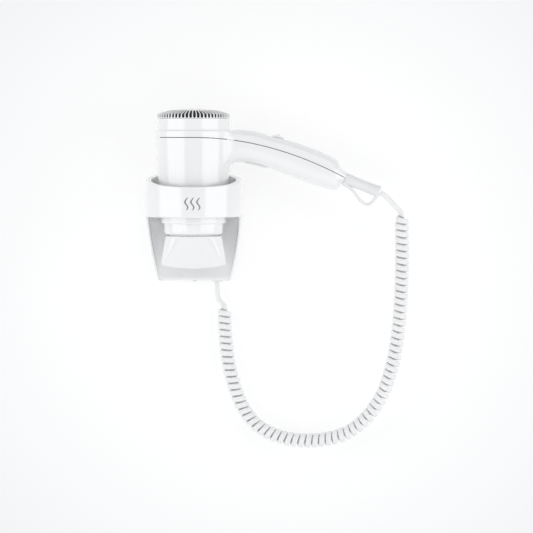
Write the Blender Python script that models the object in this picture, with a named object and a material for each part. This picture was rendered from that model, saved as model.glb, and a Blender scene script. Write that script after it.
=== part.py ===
"""Wall-mounted hair dryer: a dryer that stands nozzle-down in a wall holder, joined to it by a curly cord.

The scene is in metres, +Z up. The wall is the plane y = 0, and the object stands out from it towards -Y,
with the handle towards +X. The origin is on the wall face of the holder, behind the barrel's axis.
Lengths below are in millimetres, as on a drawing, and place() turns them into metres.
"""

import math

import bmesh
import bpy
from mathutils import Matrix, Vector

MM = 0.001

# Driving dimensions, in millimetres.
AXIS_Y = -56.0  # the barrel's axis, out from the wall
WALL = 2.2  # thickness of the dryer's moulded shells
GAP = 0.3  # clearance between neighbouring pieces

HOLDER_HALF_WIDTH = 51.8
HOLDER_BOTTOM_Z = -59.0
HOLDER_WALL = 2.6
COLLAR_BOTTOM_Z = 12.3
COLLAR_AXIS_TOP_Z = 52.7  # height of the collar's rim level with the barrel's axis
COLLAR_TILT_DEG = 8.0
COLLAR_INNER_RADIUS = 45.8
WEB_TOP_Z = 46.0  # the side webs leave the collar here, and drop towards the wall
WEB_DROP = 16.0
FLANGE_RADIUS = 35.8
FLANGE_TOP_Z = 14.6
BACK_PANEL_Y = -19.0  # front of the panel between the scoop and the wiring space
WIRING_DEPTH_Y = -16.4
PLATE_THICKNESS = 3.2
PLATE_TOP_Z = 26.0

BARREL_BOTTOM_Z = 16.9
BARREL_TOP_Z = 118.3
CREASE_Z = 105.3
SEAM_Z = 98.0
DOME_SHOULDER_Z = 122.8
DOME_TOP_Z = 130.0
DOME_RISE = 6.6
DOME_RADIUS = 39.0
INTAKE_SLOTS = 24
RING_RADIUS = 35.0
RING_BOTTOM_Z = 5.2
SOCKET_RADIUS = 32.5
SOCKET_BOTTOM_Z = -6.2

NOZZLE_TOP_Z = -8.2
NOZZLE_TOP_RADIUS = 31.0
NOZZLE_BOTTOM_Z = -39.5
NOZZLE_BOW = 4.1
NOZZLE_HALF_WIDTH = 35.2
NOZZLE_HALF_DEPTH = 9.6

HANDLE_HALF_WIDTH = 16.6
SLIDER_X = 91.5
SLIDER_TOP_Z = 98.3
SLIDER_TILT_DEG = 12.6
BUTTON_X = 68.2
BUTTON_SURFACE_Z = 69.4
BUTTON_TILT_DEG = 13.8
BUTTON_LENGTH = 25.6
BUTTON_WIDTH = 9.0
BUTTON_PROUD = 2.2

COIL_RADIUS = 7.85
LEAD_RADIUS = 2.4
EXIT_X = 24.7
EXIT_Y = -8.5

WHITE = (0.86, 0.87, 0.88)
SOFT_WHITE = (0.76, 0.77, 0.79)
PALE_GREY = (0.55, 0.56, 0.58)
DARK_GREY = (0.09, 0.09, 0.10)
STEEL = (0.60, 0.61, 0.63)
BRASS = (0.78, 0.62, 0.32)
MICA = (0.72, 0.66, 0.50)
GREEN = (0.05, 0.22, 0.12)


# Tools


def material(name, colour, roughness, metallic=0.0):
    """A Principled material, shared by name."""
    found = bpy.data.materials.get(name)
    if found:
        return found
    made = bpy.data.materials.new(name)
    made.use_nodes = True
    shader = made.node_tree.nodes["Principled BSDF"]
    shader.inputs["Base Color"].default_value = (*colour, 1.0)
    shader.inputs["Roughness"].default_value = roughness
    shader.inputs["Metallic"].default_value = metallic
    return made


def gloss_white():
    return material("gloss_white_plastic", WHITE, 0.22)


def soft_white():
    return material("satin_white_plastic", SOFT_WHITE, 0.45)


def grey_plastic():
    return material("grey_plastic", PALE_GREY, 0.5)


def dark_plastic():
    return material("dark_plastic", DARK_GREY, 0.55)


def steel():
    return material("steel", STEEL, 0.3, 1.0)


def brass():
    return material("brass", BRASS, 0.3, 1.0)


def mica():
    return material("mica", MICA, 0.6)


def place(name, shape, finish, at=(0.0, 0.0, 0.0), turn=None):
    """Turns a bmesh in millimetres into a named object, smooth where its faces nearly meet."""
    bmesh.ops.recalc_face_normals(shape, faces=shape.faces)
    bmesh.ops.scale(shape, vec=(MM, MM, MM), verts=shape.verts)
    mesh = bpy.data.meshes.new(name)
    shape.to_mesh(mesh)
    shape.free()
    mesh.shade_smooth()
    mesh.set_sharp_from_angle(angle=math.radians(35.0))
    if finish:
        mesh.materials.append(finish)
    made = bpy.data.objects.new(name, mesh)
    made.location = Vector(at) * MM
    if turn:
        made.rotation_euler = turn
    bpy.context.collection.objects.link(made)
    return made


def combine(body, tool, operation):
    """Cuts, joins or intersects a body with a tool, and removes the tool."""
    modifier = body.modifiers.new(operation.title(), "BOOLEAN")
    modifier.operation = operation
    modifier.solver = "EXACT"
    modifier.object = tool
    bake(body)
    old = tool.data
    bpy.data.objects.remove(tool)
    bpy.data.meshes.remove(old)


def bake(body):
    """Applies a body's modifiers to its mesh."""
    bpy.context.view_layer.update()
    graph = bpy.context.evaluated_depsgraph_get()
    mesh = bpy.data.meshes.new_from_object(body.evaluated_get(graph))
    old = body.data
    body.modifiers.clear()
    body.data = mesh
    bpy.data.meshes.remove(old)
    mesh.name = body.name


def tilt(degrees):
    """A rotation about +Y that lowers the +X end."""
    return (0.0, math.radians(degrees), 0.0)


def arc(centre, radius, start_deg, end_deg, steps):
    """Points along an arc, both ends included; radius may be a pair for an ellipse."""
    across, up = radius if isinstance(radius, tuple) else (radius, radius)
    points = []
    for i in range(steps + 1):
        angle = math.radians(start_deg + (end_deg - start_deg) * i / steps)
        points.append((centre[0] + across * math.cos(angle), centre[1] + up * math.sin(angle)))
    return points


def turned(name, outline, finish, at=(0.0, AXIS_Y, 0.0), turn=None, segments=40):
    """A closed outline of (radius, height) points turned about the local Z axis."""
    shape = bmesh.new()
    rings = []
    for radius, height in outline:
        if radius == 0.0:
            rings.append([shape.verts.new((0.0, 0.0, height))] * segments)
            continue
        ring = []
        for i in range(segments):
            angle = 2.0 * math.pi * i / segments
            point = (radius * math.cos(angle), radius * math.sin(angle), height)
            ring.append(shape.verts.new(point))
        rings.append(ring)
    for lower, upper in zip(rings, rings[1:] + rings[:1]):
        for i in range(segments):
            j = (i + 1) % segments
            corners = list(dict.fromkeys((lower[i], lower[j], upper[j], upper[i])))
            if len(corners) > 2:
                shape.faces.new(corners)
    return place(name, shape, finish, at, turn)


def loft(name, levels, finish, at=(0.0, 0.0, 0.0), closed=False):
    """Skins a list of loops of equal length; a closed loft joins its last loop to its first."""
    shape = bmesh.new()
    loops = [[shape.verts.new(point) for point in level] for level in levels]
    pairs = list(zip(loops, loops[1:]))
    if closed:
        pairs.append((loops[-1], loops[0]))
    else:
        shape.faces.new(loops[0])
        shape.faces.new(loops[-1])
    for lower, upper in pairs:
        for i in range(len(lower)):
            j = (i + 1) % len(lower)
            shape.faces.new((lower[i], lower[j], upper[j], upper[i]))
    return place(name, shape, finish, at)


def slab(name, outline, low_y, high_y, finish, at=(0.0, 0.0, 0.0), turn=None, bevel=0.0):
    """An (x, z) outline extruded along Y, with its long edges bevelled if asked."""
    shape = bmesh.new()
    face = shape.faces.new([shape.verts.new((x, low_y, z)) for x, z in outline])
    side = bmesh.ops.extrude_face_region(shape, geom=[face])
    moved = [item for item in side["geom"] if isinstance(item, bmesh.types.BMVert)]
    bmesh.ops.translate(shape, vec=(0.0, high_y - low_y, 0.0), verts=moved)
    if bevel:
        rims = [edge for edge in shape.edges if abs(edge.verts[0].co.y - edge.verts[1].co.y) < GAP]
        bmesh.ops.bevel(shape, geom=rims, offset=bevel, segments=1, affect="EDGES")
    return place(name, shape, finish, at, turn)


def block(name, size, finish, at, turn=None, bevel=0.0):
    """A box centred on a point, with its edges bevelled if asked."""
    shape = bmesh.new()
    bmesh.ops.create_cube(shape, size=1.0)
    bmesh.ops.scale(shape, vec=size, verts=shape.verts)
    if bevel:
        bmesh.ops.bevel(shape, geom=list(shape.edges), offset=bevel, segments=1, affect="EDGES")
    return place(name, shape, finish, at, turn)


def rod(name, radius, length, finish, at, turn=None, segments=16):
    """A plain cylinder about its local Z axis, centred on a point."""
    outline = [(0.0, -length / 2), (radius, -length / 2), (radius, length / 2), (0.0, length / 2)]
    return turned(name, outline, finish, at, turn, segments)


def smooth_route(points, spacing):
    """Points at an even spacing along a smooth curve through the route's own points."""
    route = [Vector(point) for point in points]
    ends = [2 * route[0] - route[1]] + route + [2 * route[-1] - route[-2]]
    dense = []
    for a, b, c, d in zip(ends, ends[1:], ends[2:], ends[3:]):
        for i in range(24):
            t = i / 24
            flat = 2 * b + (c - a) * t + (2 * a - 5 * b + 4 * c - d) * t * t
            dense.append(0.5 * (flat + (3 * b - a - 3 * c + d) * t**3))
    dense.append(route[-1])
    length = sum((q - p).length for p, q in zip(dense, dense[1:]))
    count = max(2, round(length / spacing))
    even = [dense[0]]
    travelled = 0.0
    for p, q in zip(dense, dense[1:]):
        step = (q - p).length
        while step and travelled + step >= length * len(even) / count and len(even) < count:
            even.append(p.lerp(q, (length * len(even) / count - travelled) / step))
        travelled += step
    return even + [dense[-1]]


def tube(name, points, radius, finish, sides_setting=2):
    """A round solid tube along a list of points."""
    curve = bpy.data.curves.new(name, "CURVE")
    curve.dimensions = "3D"
    curve.bevel_depth = radius * MM
    curve.bevel_resolution = sides_setting
    curve.use_fill_caps = True
    curve.render_resolution_u = 0
    spline = curve.splines.new("POLY")
    spline.points.add(len(points) - 1)
    for slot, point in zip(spline.points, points):
        slot.co = (*(Vector(point) * MM), 1.0)
    curve.materials.append(finish)
    made = bpy.data.objects.new(name, curve)
    bpy.context.collection.objects.link(made)
    return made


# Holder


def holder_half_width(z):
    """Half the holder's width: full at the collar, drawn in towards the bottom."""
    below = max(0.0, COLLAR_BOTTOM_Z - z)
    return HOLDER_HALF_WIDTH - 0.0196 * below**1.5


def collar_rim_z(y):
    """Height of the collar's tilted top edge."""
    return COLLAR_AXIS_TOP_Z + (y - AXIS_Y) * math.tan(math.radians(COLLAR_TILT_DEG))


def holder_outline(half_width, z, steps=32):
    """A D: straight sides from the wall, and a half circle round the barrel's axis."""
    front = arc((0.0, AXIS_Y), (half_width, HOLDER_HALF_WIDTH), 0.0, -180.0, steps)
    return [(x, y, z) for x, y in [(half_width, 0.0)] + front + [(-half_width, 0.0)]]


def side_web_outline():
    """The space over the webs that run from the collar's sides down to the wall."""
    past_wall, steps = 6.0, 6
    edge = []
    for i in range(steps + 1):
        share = i / steps
        y = AXIS_Y + (past_wall - AXIS_Y) * share
        edge.append((y, WEB_TOP_Z - WEB_DROP * share**1.5))
    return edge + [(past_wall, 80.0), (AXIS_Y, 80.0)]


def scoop_outline(half_width, back_y, z, steps=12):
    """The hollow's outline: open to the front, with a rounded back."""
    front_y = -120.0
    side_y = -42.0
    back = arc((0.0, side_y), (half_width, back_y - side_y), 0.0, 180.0, steps)
    squared = []
    for x, y in back:
        lift = 1.0 - abs(x / half_width) ** 2.1
        squared.append((x, side_y + (back_y - side_y) * max(0.0, lift) ** (1 / 2.1)))
    return [(x, y, z) for x, y in [(half_width, front_y)] + squared + [(-half_width, front_y)]]


def holder_shell():
    """Collar and scoop in one moulding, open at the back for the wiring."""
    rounding = 2.5
    heights = [HOLDER_BOTTOM_Z + rounding, -44.0, -30.0, -16.0, -2.0, COLLAR_BOTTOM_Z]
    levels = [holder_outline(holder_half_width(HOLDER_BOTTOM_Z) - rounding, HOLDER_BOTTOM_Z)]
    levels += [holder_outline(holder_half_width(z), z) for z in heights]
    levels.append([(x, y, collar_rim_z(y)) for x, y, _ in levels[-1]])
    shell = loft("holder_shell", levels, gloss_white())

    sides = slab("sides_cut", side_web_outline(), -60.0, 60.0, None, turn=(0.0, 0.0, math.radians(90.0)))
    ring = rod("ring", HOLDER_HALF_WIDTH, 200.0, None, (0.0, AXIS_Y, 0.0), segments=64)
    combine(sides, ring, "DIFFERENCE")
    combine(shell, sides, "DIFFERENCE")

    sweep = [(-120.0, COLLAR_BOTTOM_Z), (AXIS_Y, COLLAR_BOTTOM_Z)]
    sweep += arc((AXIS_Y, -52.0), (28.5, 58.0), 82.0, 4.0, 8)
    sweep += [(-27.0, -63.0), (-120.0, -63.0)]
    front = slab("front_cut", sweep, -60.0, 60.0, None, turn=(0.0, 0.0, math.radians(90.0)))
    combine(shell, front, "DIFFERENCE")

    hollow = []
    for z, back_y in ((-56.2, -26.5), (-52.0, -23.2), (-46.0, -20.6), (-38.0, BACK_PANEL_Y)):
        hollow.append(scoop_outline(holder_half_width(z) - HOLDER_WALL, back_y, z))
    for z in (-22.0, -6.0, COLLAR_BOTTOM_Z):
        hollow.append(scoop_outline(holder_half_width(z) - HOLDER_WALL, BACK_PANEL_Y, z))
    combine(shell, loft("scoop_cut", hollow, None), "DIFFERENCE")

    bore = [
        (0.0, COLLAR_BOTTOM_Z - 1.0),
        (FLANGE_RADIUS, COLLAR_BOTTOM_Z - 1.0),
        (FLANGE_RADIUS, FLANGE_TOP_Z),
        (COLLAR_INNER_RADIUS, FLANGE_TOP_Z),
        (COLLAR_INNER_RADIUS, 80.0),
        (0.0, 80.0),
    ]
    combine(shell, turned("bore_cut", bore, None, segments=56), "DIFFERENCE")

    inner = HOLDER_WALL
    wiring = []
    for z in (HOLDER_BOTTOM_Z + inner, -44.0, -30.0, -16.0, COLLAR_BOTTOM_Z - inner):
        half = holder_half_width(z) - 2 * inner
        corners = ((half, 5.0), (half, WIRING_DEPTH_Y), (-half, WIRING_DEPTH_Y), (-half, 5.0))
        wiring.append([(x, y, z) for x, y in corners])
    combine(shell, loft("wiring_cut", wiring, None), "DIFFERENCE")
    recess = plate_outline(GAP)
    combine(shell, slab("plate_recess", recess, -PLATE_THICKNESS - GAP, 5.0, None), "DIFFERENCE")

    exit_hole = rod("exit_cut", 4.7, 12.0, None, (EXIT_X, EXIT_Y, HOLDER_BOTTOM_Z))
    combine(shell, exit_hole, "DIFFERENCE")
    screw_hole = rod("screw_cut", 1.9, 12.0, None, (0.0, -9.0, HOLDER_BOTTOM_Z))
    combine(shell, screw_hole, "DIFFERENCE")
    return shell


def plate_outline(grow=0.0):
    """The back plate's outline in the wall plane."""
    heights = (-55.0 - grow, -40.0, -26.0, -10.0, COLLAR_BOTTOM_Z, PLATE_TOP_Z + grow)
    right = [(holder_half_width(z) - HOLDER_WALL - 0.6 + grow, z) for z in heights]
    return right + [(-x, z) for x, z in reversed(right)]


def holder_back_plate():
    """Flat plate against the wall, with screw holes, a cable entry and a lug for the shell's screw."""
    plate = slab("holder_back_plate", plate_outline(), -PLATE_THICKNESS, 0.0, soft_white())
    lug = block("lug", (12.0, 11.0, 5.0), None, (0.0, -8.0, -50.0))
    combine(plate, lug, "UNION")
    flat = (math.radians(90.0), 0.0, 0.0)
    for x, z, radius in ((-34.0, 15.0, 2.6), (34.0, 15.0, 2.6), (-26.0, -40.0, 2.6), (-30.0, -14.0, 6.0)):
        combine(plate, rod("hole", radius, 20.0, None, (x, 0.0, z), flat), "DIFFERENCE")
    combine(plate, rod("pilot", 1.7, 12.0, None, (0.0, -9.0, -50.0)), "DIFFERENCE")
    return plate


def rest_ring():
    """Soft ring on the collar's flange, under the barrel's shoulder."""
    top = BARREL_BOTTOM_Z - GAP
    low = FLANGE_TOP_Z + GAP
    outline = [(36.1, low), (44.0, low), (43.6, top), (36.5, top)]
    return turned("rest_ring", outline, grey_plastic())


def shell_screw():
    """Screw up through the holder's underside into the back plate's lug."""
    low = HOLDER_BOTTOM_Z
    outline = [(0.0, low - 1.8), (2.6, low - 1.8), (3.1, low - GAP), (1.4, low - GAP)]
    outline += [(1.4, -49.0), (0.0, -49.0)]
    return turned("shell_screw", outline, steel(), (0.0, -9.0, 0.0), segments=16)


def terminal_block():
    """Block of three terminals on the back plate, with a bore for each screw."""
    low = -PLATE_THICKNESS - GAP
    body = block("terminal_block", (30.0, 9.6, 11.0), grey_plastic(), (-4.0, low - 4.8, -14.0), bevel=0.5)
    flat = (math.radians(90.0), 0.0, 0.0)
    for i in range(3):
        hole = rod("hole", 2.4, 5.0, None, (-13.0 + 9.0 * i, low - 9.6, -14.0), flat)
        combine(body, hole, "DIFFERENCE")
    for i in range(3):
        screw = rod(f"terminal_screw_{i + 1}", 2.0, 1.8, brass(), (-13.0 + 9.0 * i, low - 8.4, -14.0), flat)
        slot = block("slot", (5.0, 0.8, 0.7), None, (-13.0 + 9.0 * i, low - 9.3, -14.0))
        combine(screw, slot, "DIFFERENCE")
    return body


def cord_gland():
    """Flanged sleeve in the underside hole that the cord leaves through."""
    low = HOLDER_BOTTOM_Z
    top = low + HOLDER_WALL + GAP
    bore = LEAD_RADIUS + GAP
    outline = [
        (bore, low - 1.6),
        (5.4, low - 1.6),
        (6.2, low - GAP),
        (4.3, low - GAP),
        (4.3, top),
        (5.0, top),
        (5.0, top + 1.4),
        (bore, top + 1.4),
    ]
    return turned("cord_gland", outline, soft_white(), (EXIT_X, EXIT_Y, 0.0), segments=18)


def cord_clamp():
    """Bar and two screws that hold the cord inside the holder."""
    z = -42.0
    bar_y = EXIT_Y - LEAD_RADIUS - GAP - 1.3
    bar = block("cord_clamp_bar", (19.0, 2.4, 5.0), grey_plastic(), (EXIT_X, bar_y, z), bevel=0.4)
    flat = (math.radians(90.0), 0.0, 0.0)
    for side, label in ((-1, "left"), (1, "right")):
        x = EXIT_X + 6.2 * side
        combine(bar, rod("hole", 1.6, 6.0, None, (x, bar_y, z), flat), "DIFFERENCE")
        outline = [(0.0, -8.5), (1.2, -8.5), (1.2, 0.0), (2.4, 0.0), (2.4, 1.2), (0.0, 1.2)]
        turned(f"cord_clamp_screw_{label}", outline, steel(), (x, bar_y - 1.5, z), flat, 12)
    return bar


def holder_inner_lead():
    """The cord's end inside the holder, from the gland past the clamp to the terminals."""
    start_z = HOLDER_BOTTOM_Z + HOLDER_WALL + 2.5
    route = [(EXIT_X, EXIT_Y, start_z), (EXIT_X, EXIT_Y, -40.0), (EXIT_X, EXIT_Y, -28.0)]
    route += [(21.0, EXIT_Y, -17.0), (13.0, EXIT_Y, -14.0)]
    return tube("holder_inner_lead", smooth_route(route, 5.0), LEAD_RADIUS - 0.2, soft_white())


# Dryer housing

# The handle's stations from the barrel out: top point, bottom point, half width.
HANDLE_STATIONS = [
    ((47.5, 107.4), (47.0, 71.0), 17.6),
    ((58.0, 106.4), (56.0, 71.6), 16.8),
    ((70.0, 104.6), (66.0, 69.8), 16.6),
    ((80.5, 101.0), (76.0, 67.2), 16.6),
    ((94.0, 97.9), (88.0, 62.8), HANDLE_HALF_WIDTH),
    ((119.5, 90.6), (110.0, 53.8), HANDLE_HALF_WIDTH),
    ((145.0, 80.2), (133.0, 45.2), 16.4),
    ((157.8, 71.2), (153.4, 40.6), 13.6),
    ((160.6, 65.4), (157.8, 45.4), 10.2),
    ((166.4, 60.2), (160.4, 47.4), 8.4),
]
SECTION_ANGLES = [140, 115, 90, 65, 40, 14, -14, -40, -65, -90, -115, -140, -166, 166]
CAGE_SHRINK = 0.98864  # how far subdivision draws a ring of 24 points in
SECTION_SHRINK = 0.967  # and a ring of 14


def seam_z(x):
    """Height of the parting line between the two housing halves."""
    if x < 0.0:
        return SEAM_Z
    return SEAM_Z - 0.00162 * x * x + 0.1 * math.sin(x / 40.0)


def seam_region(name, upper):
    """The space above or below the parting line, as a tool for the housing."""
    shift = GAP / 2 if upper else -GAP / 2
    line = [(-60.0, SEAM_Z + shift)]
    line += [(10.0 * i, seam_z(10.0 * i) + shift) for i in range(19)]
    far_z = 140.0 if upper else -20.0
    return slab(name, line + [(180.0, far_z), (-60.0, far_z)], -110.0, 10.0, None)


def housing_skin(name, finish):
    """Barrel and handle as one thick skin, grown from a cage of quads."""
    shape = bmesh.new()
    profile = [
        (BARREL_BOTTOM_Z, 37.3),
        (45.0, 38.0),
        (70.0, 39.0),
        (82.0, 39.8),
        (94.0, 40.9),
        (CREASE_Z, 40.3),
        (110.5, 39.3),
        (BARREL_TOP_Z, 39.3),
    ]
    low_row, top_row = 2, 5
    columns = (-2, -1, 0, 1, 2)
    rings = []
    for row, (z, radius) in enumerate(profile):
        ring = []
        for j in range(24):
            column = j if j < 12 else j - 24
            inside = low_row < row < top_row and abs(column) < 2
            angle = math.radians(15.0 * column)
            x = radius / CAGE_SHRINK * math.cos(angle)
            y = AXIS_Y + radius / CAGE_SHRINK * math.sin(angle)
            ring.append(None if inside else shape.verts.new((x, y, z)))
        rings.append(ring)
    for row in range(len(profile) - 1):
        for j in range(24):
            beside = (j + 1) % 24
            corners = (rings[row][j], rings[row][beside], rings[row + 1][beside], rings[row + 1][j])
            column = j if j < 12 else j - 24
            if low_row <= row < top_row and -2 <= column < 2:
                continue
            shape.faces.new(corners)
    loop = [rings[top_row][j] for j in columns]
    loop += [rings[row][2] for row in range(top_row - 1, low_row, -1)]
    loop += [rings[low_row][j] for j in reversed(columns)]
    loop += [rings[row][-2] for row in range(low_row + 1, top_row)]
    for top, bottom, half_width in HANDLE_STATIONS:
        following = [shape.verts.new(point) for point in handle_section(top, bottom, half_width)]
        for i in range(len(loop)):
            j = (i + 1) % len(loop)
            shape.faces.new((loop[i], loop[j], following[j], following[i]))
        loop = following
    skin = place(name, shape, finish)
    subdivide = skin.modifiers.new("Subdivide", "SUBSURF")
    subdivide.levels = 1
    subdivide.render_levels = 1
    thicken = skin.modifiers.new("Thicken", "SOLIDIFY")
    thicken.thickness = WALL * MM
    thicken.offset = -1.0
    thicken.use_even_offset = True
    thicken.use_quality_normals = True
    bake(skin)
    return skin


def handle_section(top, bottom, half_width):
    """Cage points round the handle between a top and a bottom point."""
    centre_x, centre_z = (top[0] + bottom[0]) / 2, (top[1] + bottom[1]) / 2
    up_x, up_z = (top[0] - bottom[0]) / 2, (top[1] - bottom[1]) / 2
    points = []
    for angle in SECTION_ANGLES:
        across, up = math.cos(math.radians(angle)), math.sin(math.radians(angle))
        across = math.copysign(abs(across) ** 0.84, across) / SECTION_SHRINK
        up = math.copysign(abs(up) ** 0.84, up) / SECTION_SHRINK
        points.append((centre_x + up_x * up, AXIS_Y + half_width * across, centre_z + up_z * up))
    return points


def on_handle(x, z, tilt_deg, height):
    """A point a given height along the normal of a tilted spot on the handle."""
    lean = math.radians(tilt_deg)
    return (x + height * math.sin(lean), AXIS_Y, z + height * math.cos(lean))


SCREW_SPOTS = [(104.0, 57.0, 24.0), (128.0, 48.0, 21.0)]  # x, z on the underside, and the tilt there


def upper_housing():
    """Housing above the parting line, with the slide switch's recess and the screw bosses."""
    shell = housing_skin("upper_housing", gloss_white())
    combine(shell, seam_region("upper_region", True), "INTERSECT")
    lean = tilt(SLIDER_TILT_DEG)
    spot = on_handle(SLIDER_X, SLIDER_TOP_Z, SLIDER_TILT_DEG, 2.9)
    combine(shell, block("recess", (29.0, 15.0, 8.0), None, spot, lean), "DIFFERENCE")
    spot = on_handle(SLIDER_X, SLIDER_TOP_Z, SLIDER_TILT_DEG, 0.0)
    combine(shell, block("slot", (18.0, 5.4, 12.0), None, spot, lean), "DIFFERENCE")
    for x, z, lean_deg in SCREW_SPOTS:
        height = 27.4
        spot = on_handle(x, z, lean_deg, height)
        outer = rod("boss", 3.2, 14.0, None, spot, tilt(lean_deg), 10)
        combine(outer, seam_region("boss_region", True), "INTERSECT")
        combine(shell, outer, "UNION")
        spot = on_handle(x, z, lean_deg, height - 2.6)
        combine(shell, rod("pilot", 1.5, 13.0, None, spot, tilt(lean_deg), 8), "DIFFERENCE")
    return shell


def lower_housing():
    """Housing below the parting line, with the push bar's opening and the screw bosses."""
    shell = housing_skin("lower_housing", gloss_white())
    combine(shell, seam_region("lower_region", False), "INTERSECT")
    spot = on_handle(BUTTON_X, BUTTON_SURFACE_Z, BUTTON_TILT_DEG, 0.0)
    opening = (BUTTON_LENGTH + 2 * GAP, BUTTON_WIDTH + 2 * GAP, 14.0)
    combine(shell, block("opening", opening, None, spot, tilt(BUTTON_TILT_DEG)), "DIFFERENCE")
    for x, z, lean_deg in SCREW_SPOTS:
        outer = rod("boss", 4.6, 24.0, None, on_handle(x, z, lean_deg, 13.2), tilt(lean_deg), 12)
        combine(outer, seam_region("boss_region", False), "INTERSECT")
        combine(shell, outer, "UNION")
        clearance = rod("clearance", 1.8, 60.0, None, on_handle(x, z, lean_deg, 12.0), tilt(lean_deg), 10)
        combine(shell, clearance, "DIFFERENCE")
        head = rod("head_cut", 3.2, 14.0, None, on_handle(x, z, lean_deg, -2.0), tilt(lean_deg), 12)
        combine(shell, head, "DIFFERENCE")
    return shell


def housing_screws():
    """Screws under the handle that hold the two halves together."""
    for number, (x, z, lean_deg) in enumerate(SCREW_SPOTS, 1):
        outline = [(0.0, 2.6), (2.7, 2.6), (2.7, 4.7), (1.15, 4.7), (1.15, 29.0), (0.0, 29.0)]
        at = on_handle(x, z, lean_deg, 0.0)
        screw = turned(f"housing_screw_{number}", outline, steel(), at, tilt(lean_deg), 14)
        slot_at = on_handle(x, z, lean_deg, 2.6)
        combine(screw, block("slot", (7.0, 0.8, 1.4), None, slot_at, tilt(lean_deg)), "DIFFERENCE")


# Air path, from the intake down


def dome_z(radius):
    """Height of the end cap's shallow dome at a distance from its axis."""
    return DOME_TOP_Z - DOME_RISE * (radius / DOME_RADIUS) ** 2


def intake_grille():
    """Domed end cap with radial slots over its edge."""
    inside, skin, low = DOME_RADIUS - 1.8, 1.8, BARREL_TOP_Z + GAP
    radii = (DOME_RADIUS - 0.7, 27.0, 14.0)
    over = [(radius, dome_z(radius)) for radius in radii]
    under = [(radius, dome_z(radius) - skin) for radius in (14.0, 27.0, inside)]
    outline = [(DOME_RADIUS, low), (DOME_RADIUS, DOME_SHOULDER_Z)] + over
    outline += [(0.0, DOME_TOP_Z), (0.0, DOME_TOP_Z - skin)] + under + [(inside, low)]
    cap = turned("intake_grille", outline, soft_white(), segments=32)
    shape = bmesh.new()
    for i in range(INTAKE_SLOTS):
        spin = Matrix.Rotation(2.0 * math.pi * (i + 0.5) / INTAKE_SLOTS, 4, "Z")
        centre = Matrix.Translation((29.0, 0.0, 125.4))
        bmesh.ops.create_cube(shape, size=1.0, matrix=spin @ centre @ Matrix.Diagonal((32.0, 2.4, 11.6, 1.0)))
    combine(cap, place("slots", shape, None, (0.0, AXIS_Y, 0.0)), "DIFFERENCE")
    return cap


def intake_mesh():
    """Fine lint screen under the intake grille."""
    outline = [(0.0, 115.6), (36.4, 115.6), (36.4, 117.2), (35.4, 117.2), (35.4, 116.2), (0.0, 116.2)]
    return turned("intake_mesh", outline, steel(), segments=36)


def fan_duct():
    """Duct round the fan, with vanes that carry the motor's sleeve."""
    wall = [(36.1, 76.0), (36.1, 111.0), (34.9, 111.0), (34.9, 76.0)]
    duct = turned("fan_duct", wall, dark_plastic(), segments=36)
    sleeve = turned("sleeve", [(17.2, 77.0), (17.2, 96.0), (15.7, 96.0), (15.7, 77.0)], None, segments=28)
    shape = bmesh.new()
    for i in range(5):
        spin = Matrix.Rotation(2.0 * math.pi * (i + 0.5) / 5, 4, "Z")
        centre = Matrix.Translation((26.0, 0.0, 86.0))
        bmesh.ops.create_cube(shape, size=1.0, matrix=spin @ centre @ Matrix.Diagonal((18.6, 1.4, 14.0, 1.0)))
    vanes = place("vanes", shape, None, (0.0, AXIS_Y, 0.0))
    combine(vanes, sleeve, "UNION")
    combine(duct, vanes, "UNION")
    return duct


def motor():
    """Motor can, its end cap and its shaft on the barrel's axis."""
    can = [(15.3, 77.4), (15.3, 94.5), (14.3, 95.5), (2.0, 95.5), (2.0, 77.4)]
    turned("motor_can", can, steel(), segments=28)
    cap = [(2.0, 72.4), (13.6, 72.4), (15.3, 74.0), (15.3, 77.1), (2.0, 77.1)]
    turned("motor_end_cap", cap, dark_plastic(), segments=28)
    shaft = [(0.0, 74.0), (1.6, 74.0), (1.6, 113.8), (0.0, 113.8)]
    turned("motor_shaft", shaft, steel(), segments=16)


def impeller():
    """Axial fan: a hub with seven twisted blades."""
    hub_outline = [(1.9, 98.6), (13.4, 98.6), (13.4, 110.0), (10.0, 113.0), (1.9, 113.0)]
    shape = bmesh.new()
    blades = 7
    for number in range(blades):
        middle = 2.0 * math.pi * number / blades
        blade_loops = []
        for radius, half_chord_deg, rise in ((12.6, 17.0, 4.4), (23.0, 15.0, 4.0), (34.2, 13.0, 3.2)):
            edge = []
            for share, lift in ((-1, 0.55), (0, 0.55), (1, 0.55), (1, -0.55), (0, -0.55), (-1, -0.55)):
                angle = middle + math.radians(half_chord_deg) * share
                z = 104.5 + rise * share + lift
                edge.append(shape.verts.new((radius * math.cos(angle), radius * math.sin(angle), z)))
            blade_loops.append(edge)
        shape.faces.new(blade_loops[0])
        shape.faces.new(blade_loops[-1])
        for inner, outer in zip(blade_loops, blade_loops[1:]):
            for i in range(6):
                j = (i + 1) % 6
                shape.faces.new((inner[i], inner[j], outer[j], outer[i]))
    fan = turned("impeller", hub_outline, dark_plastic(), segments=21)
    combine(fan, place("blades", shape, None, (0.0, AXIS_Y, 0.0)), "UNION")
    return fan


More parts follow.
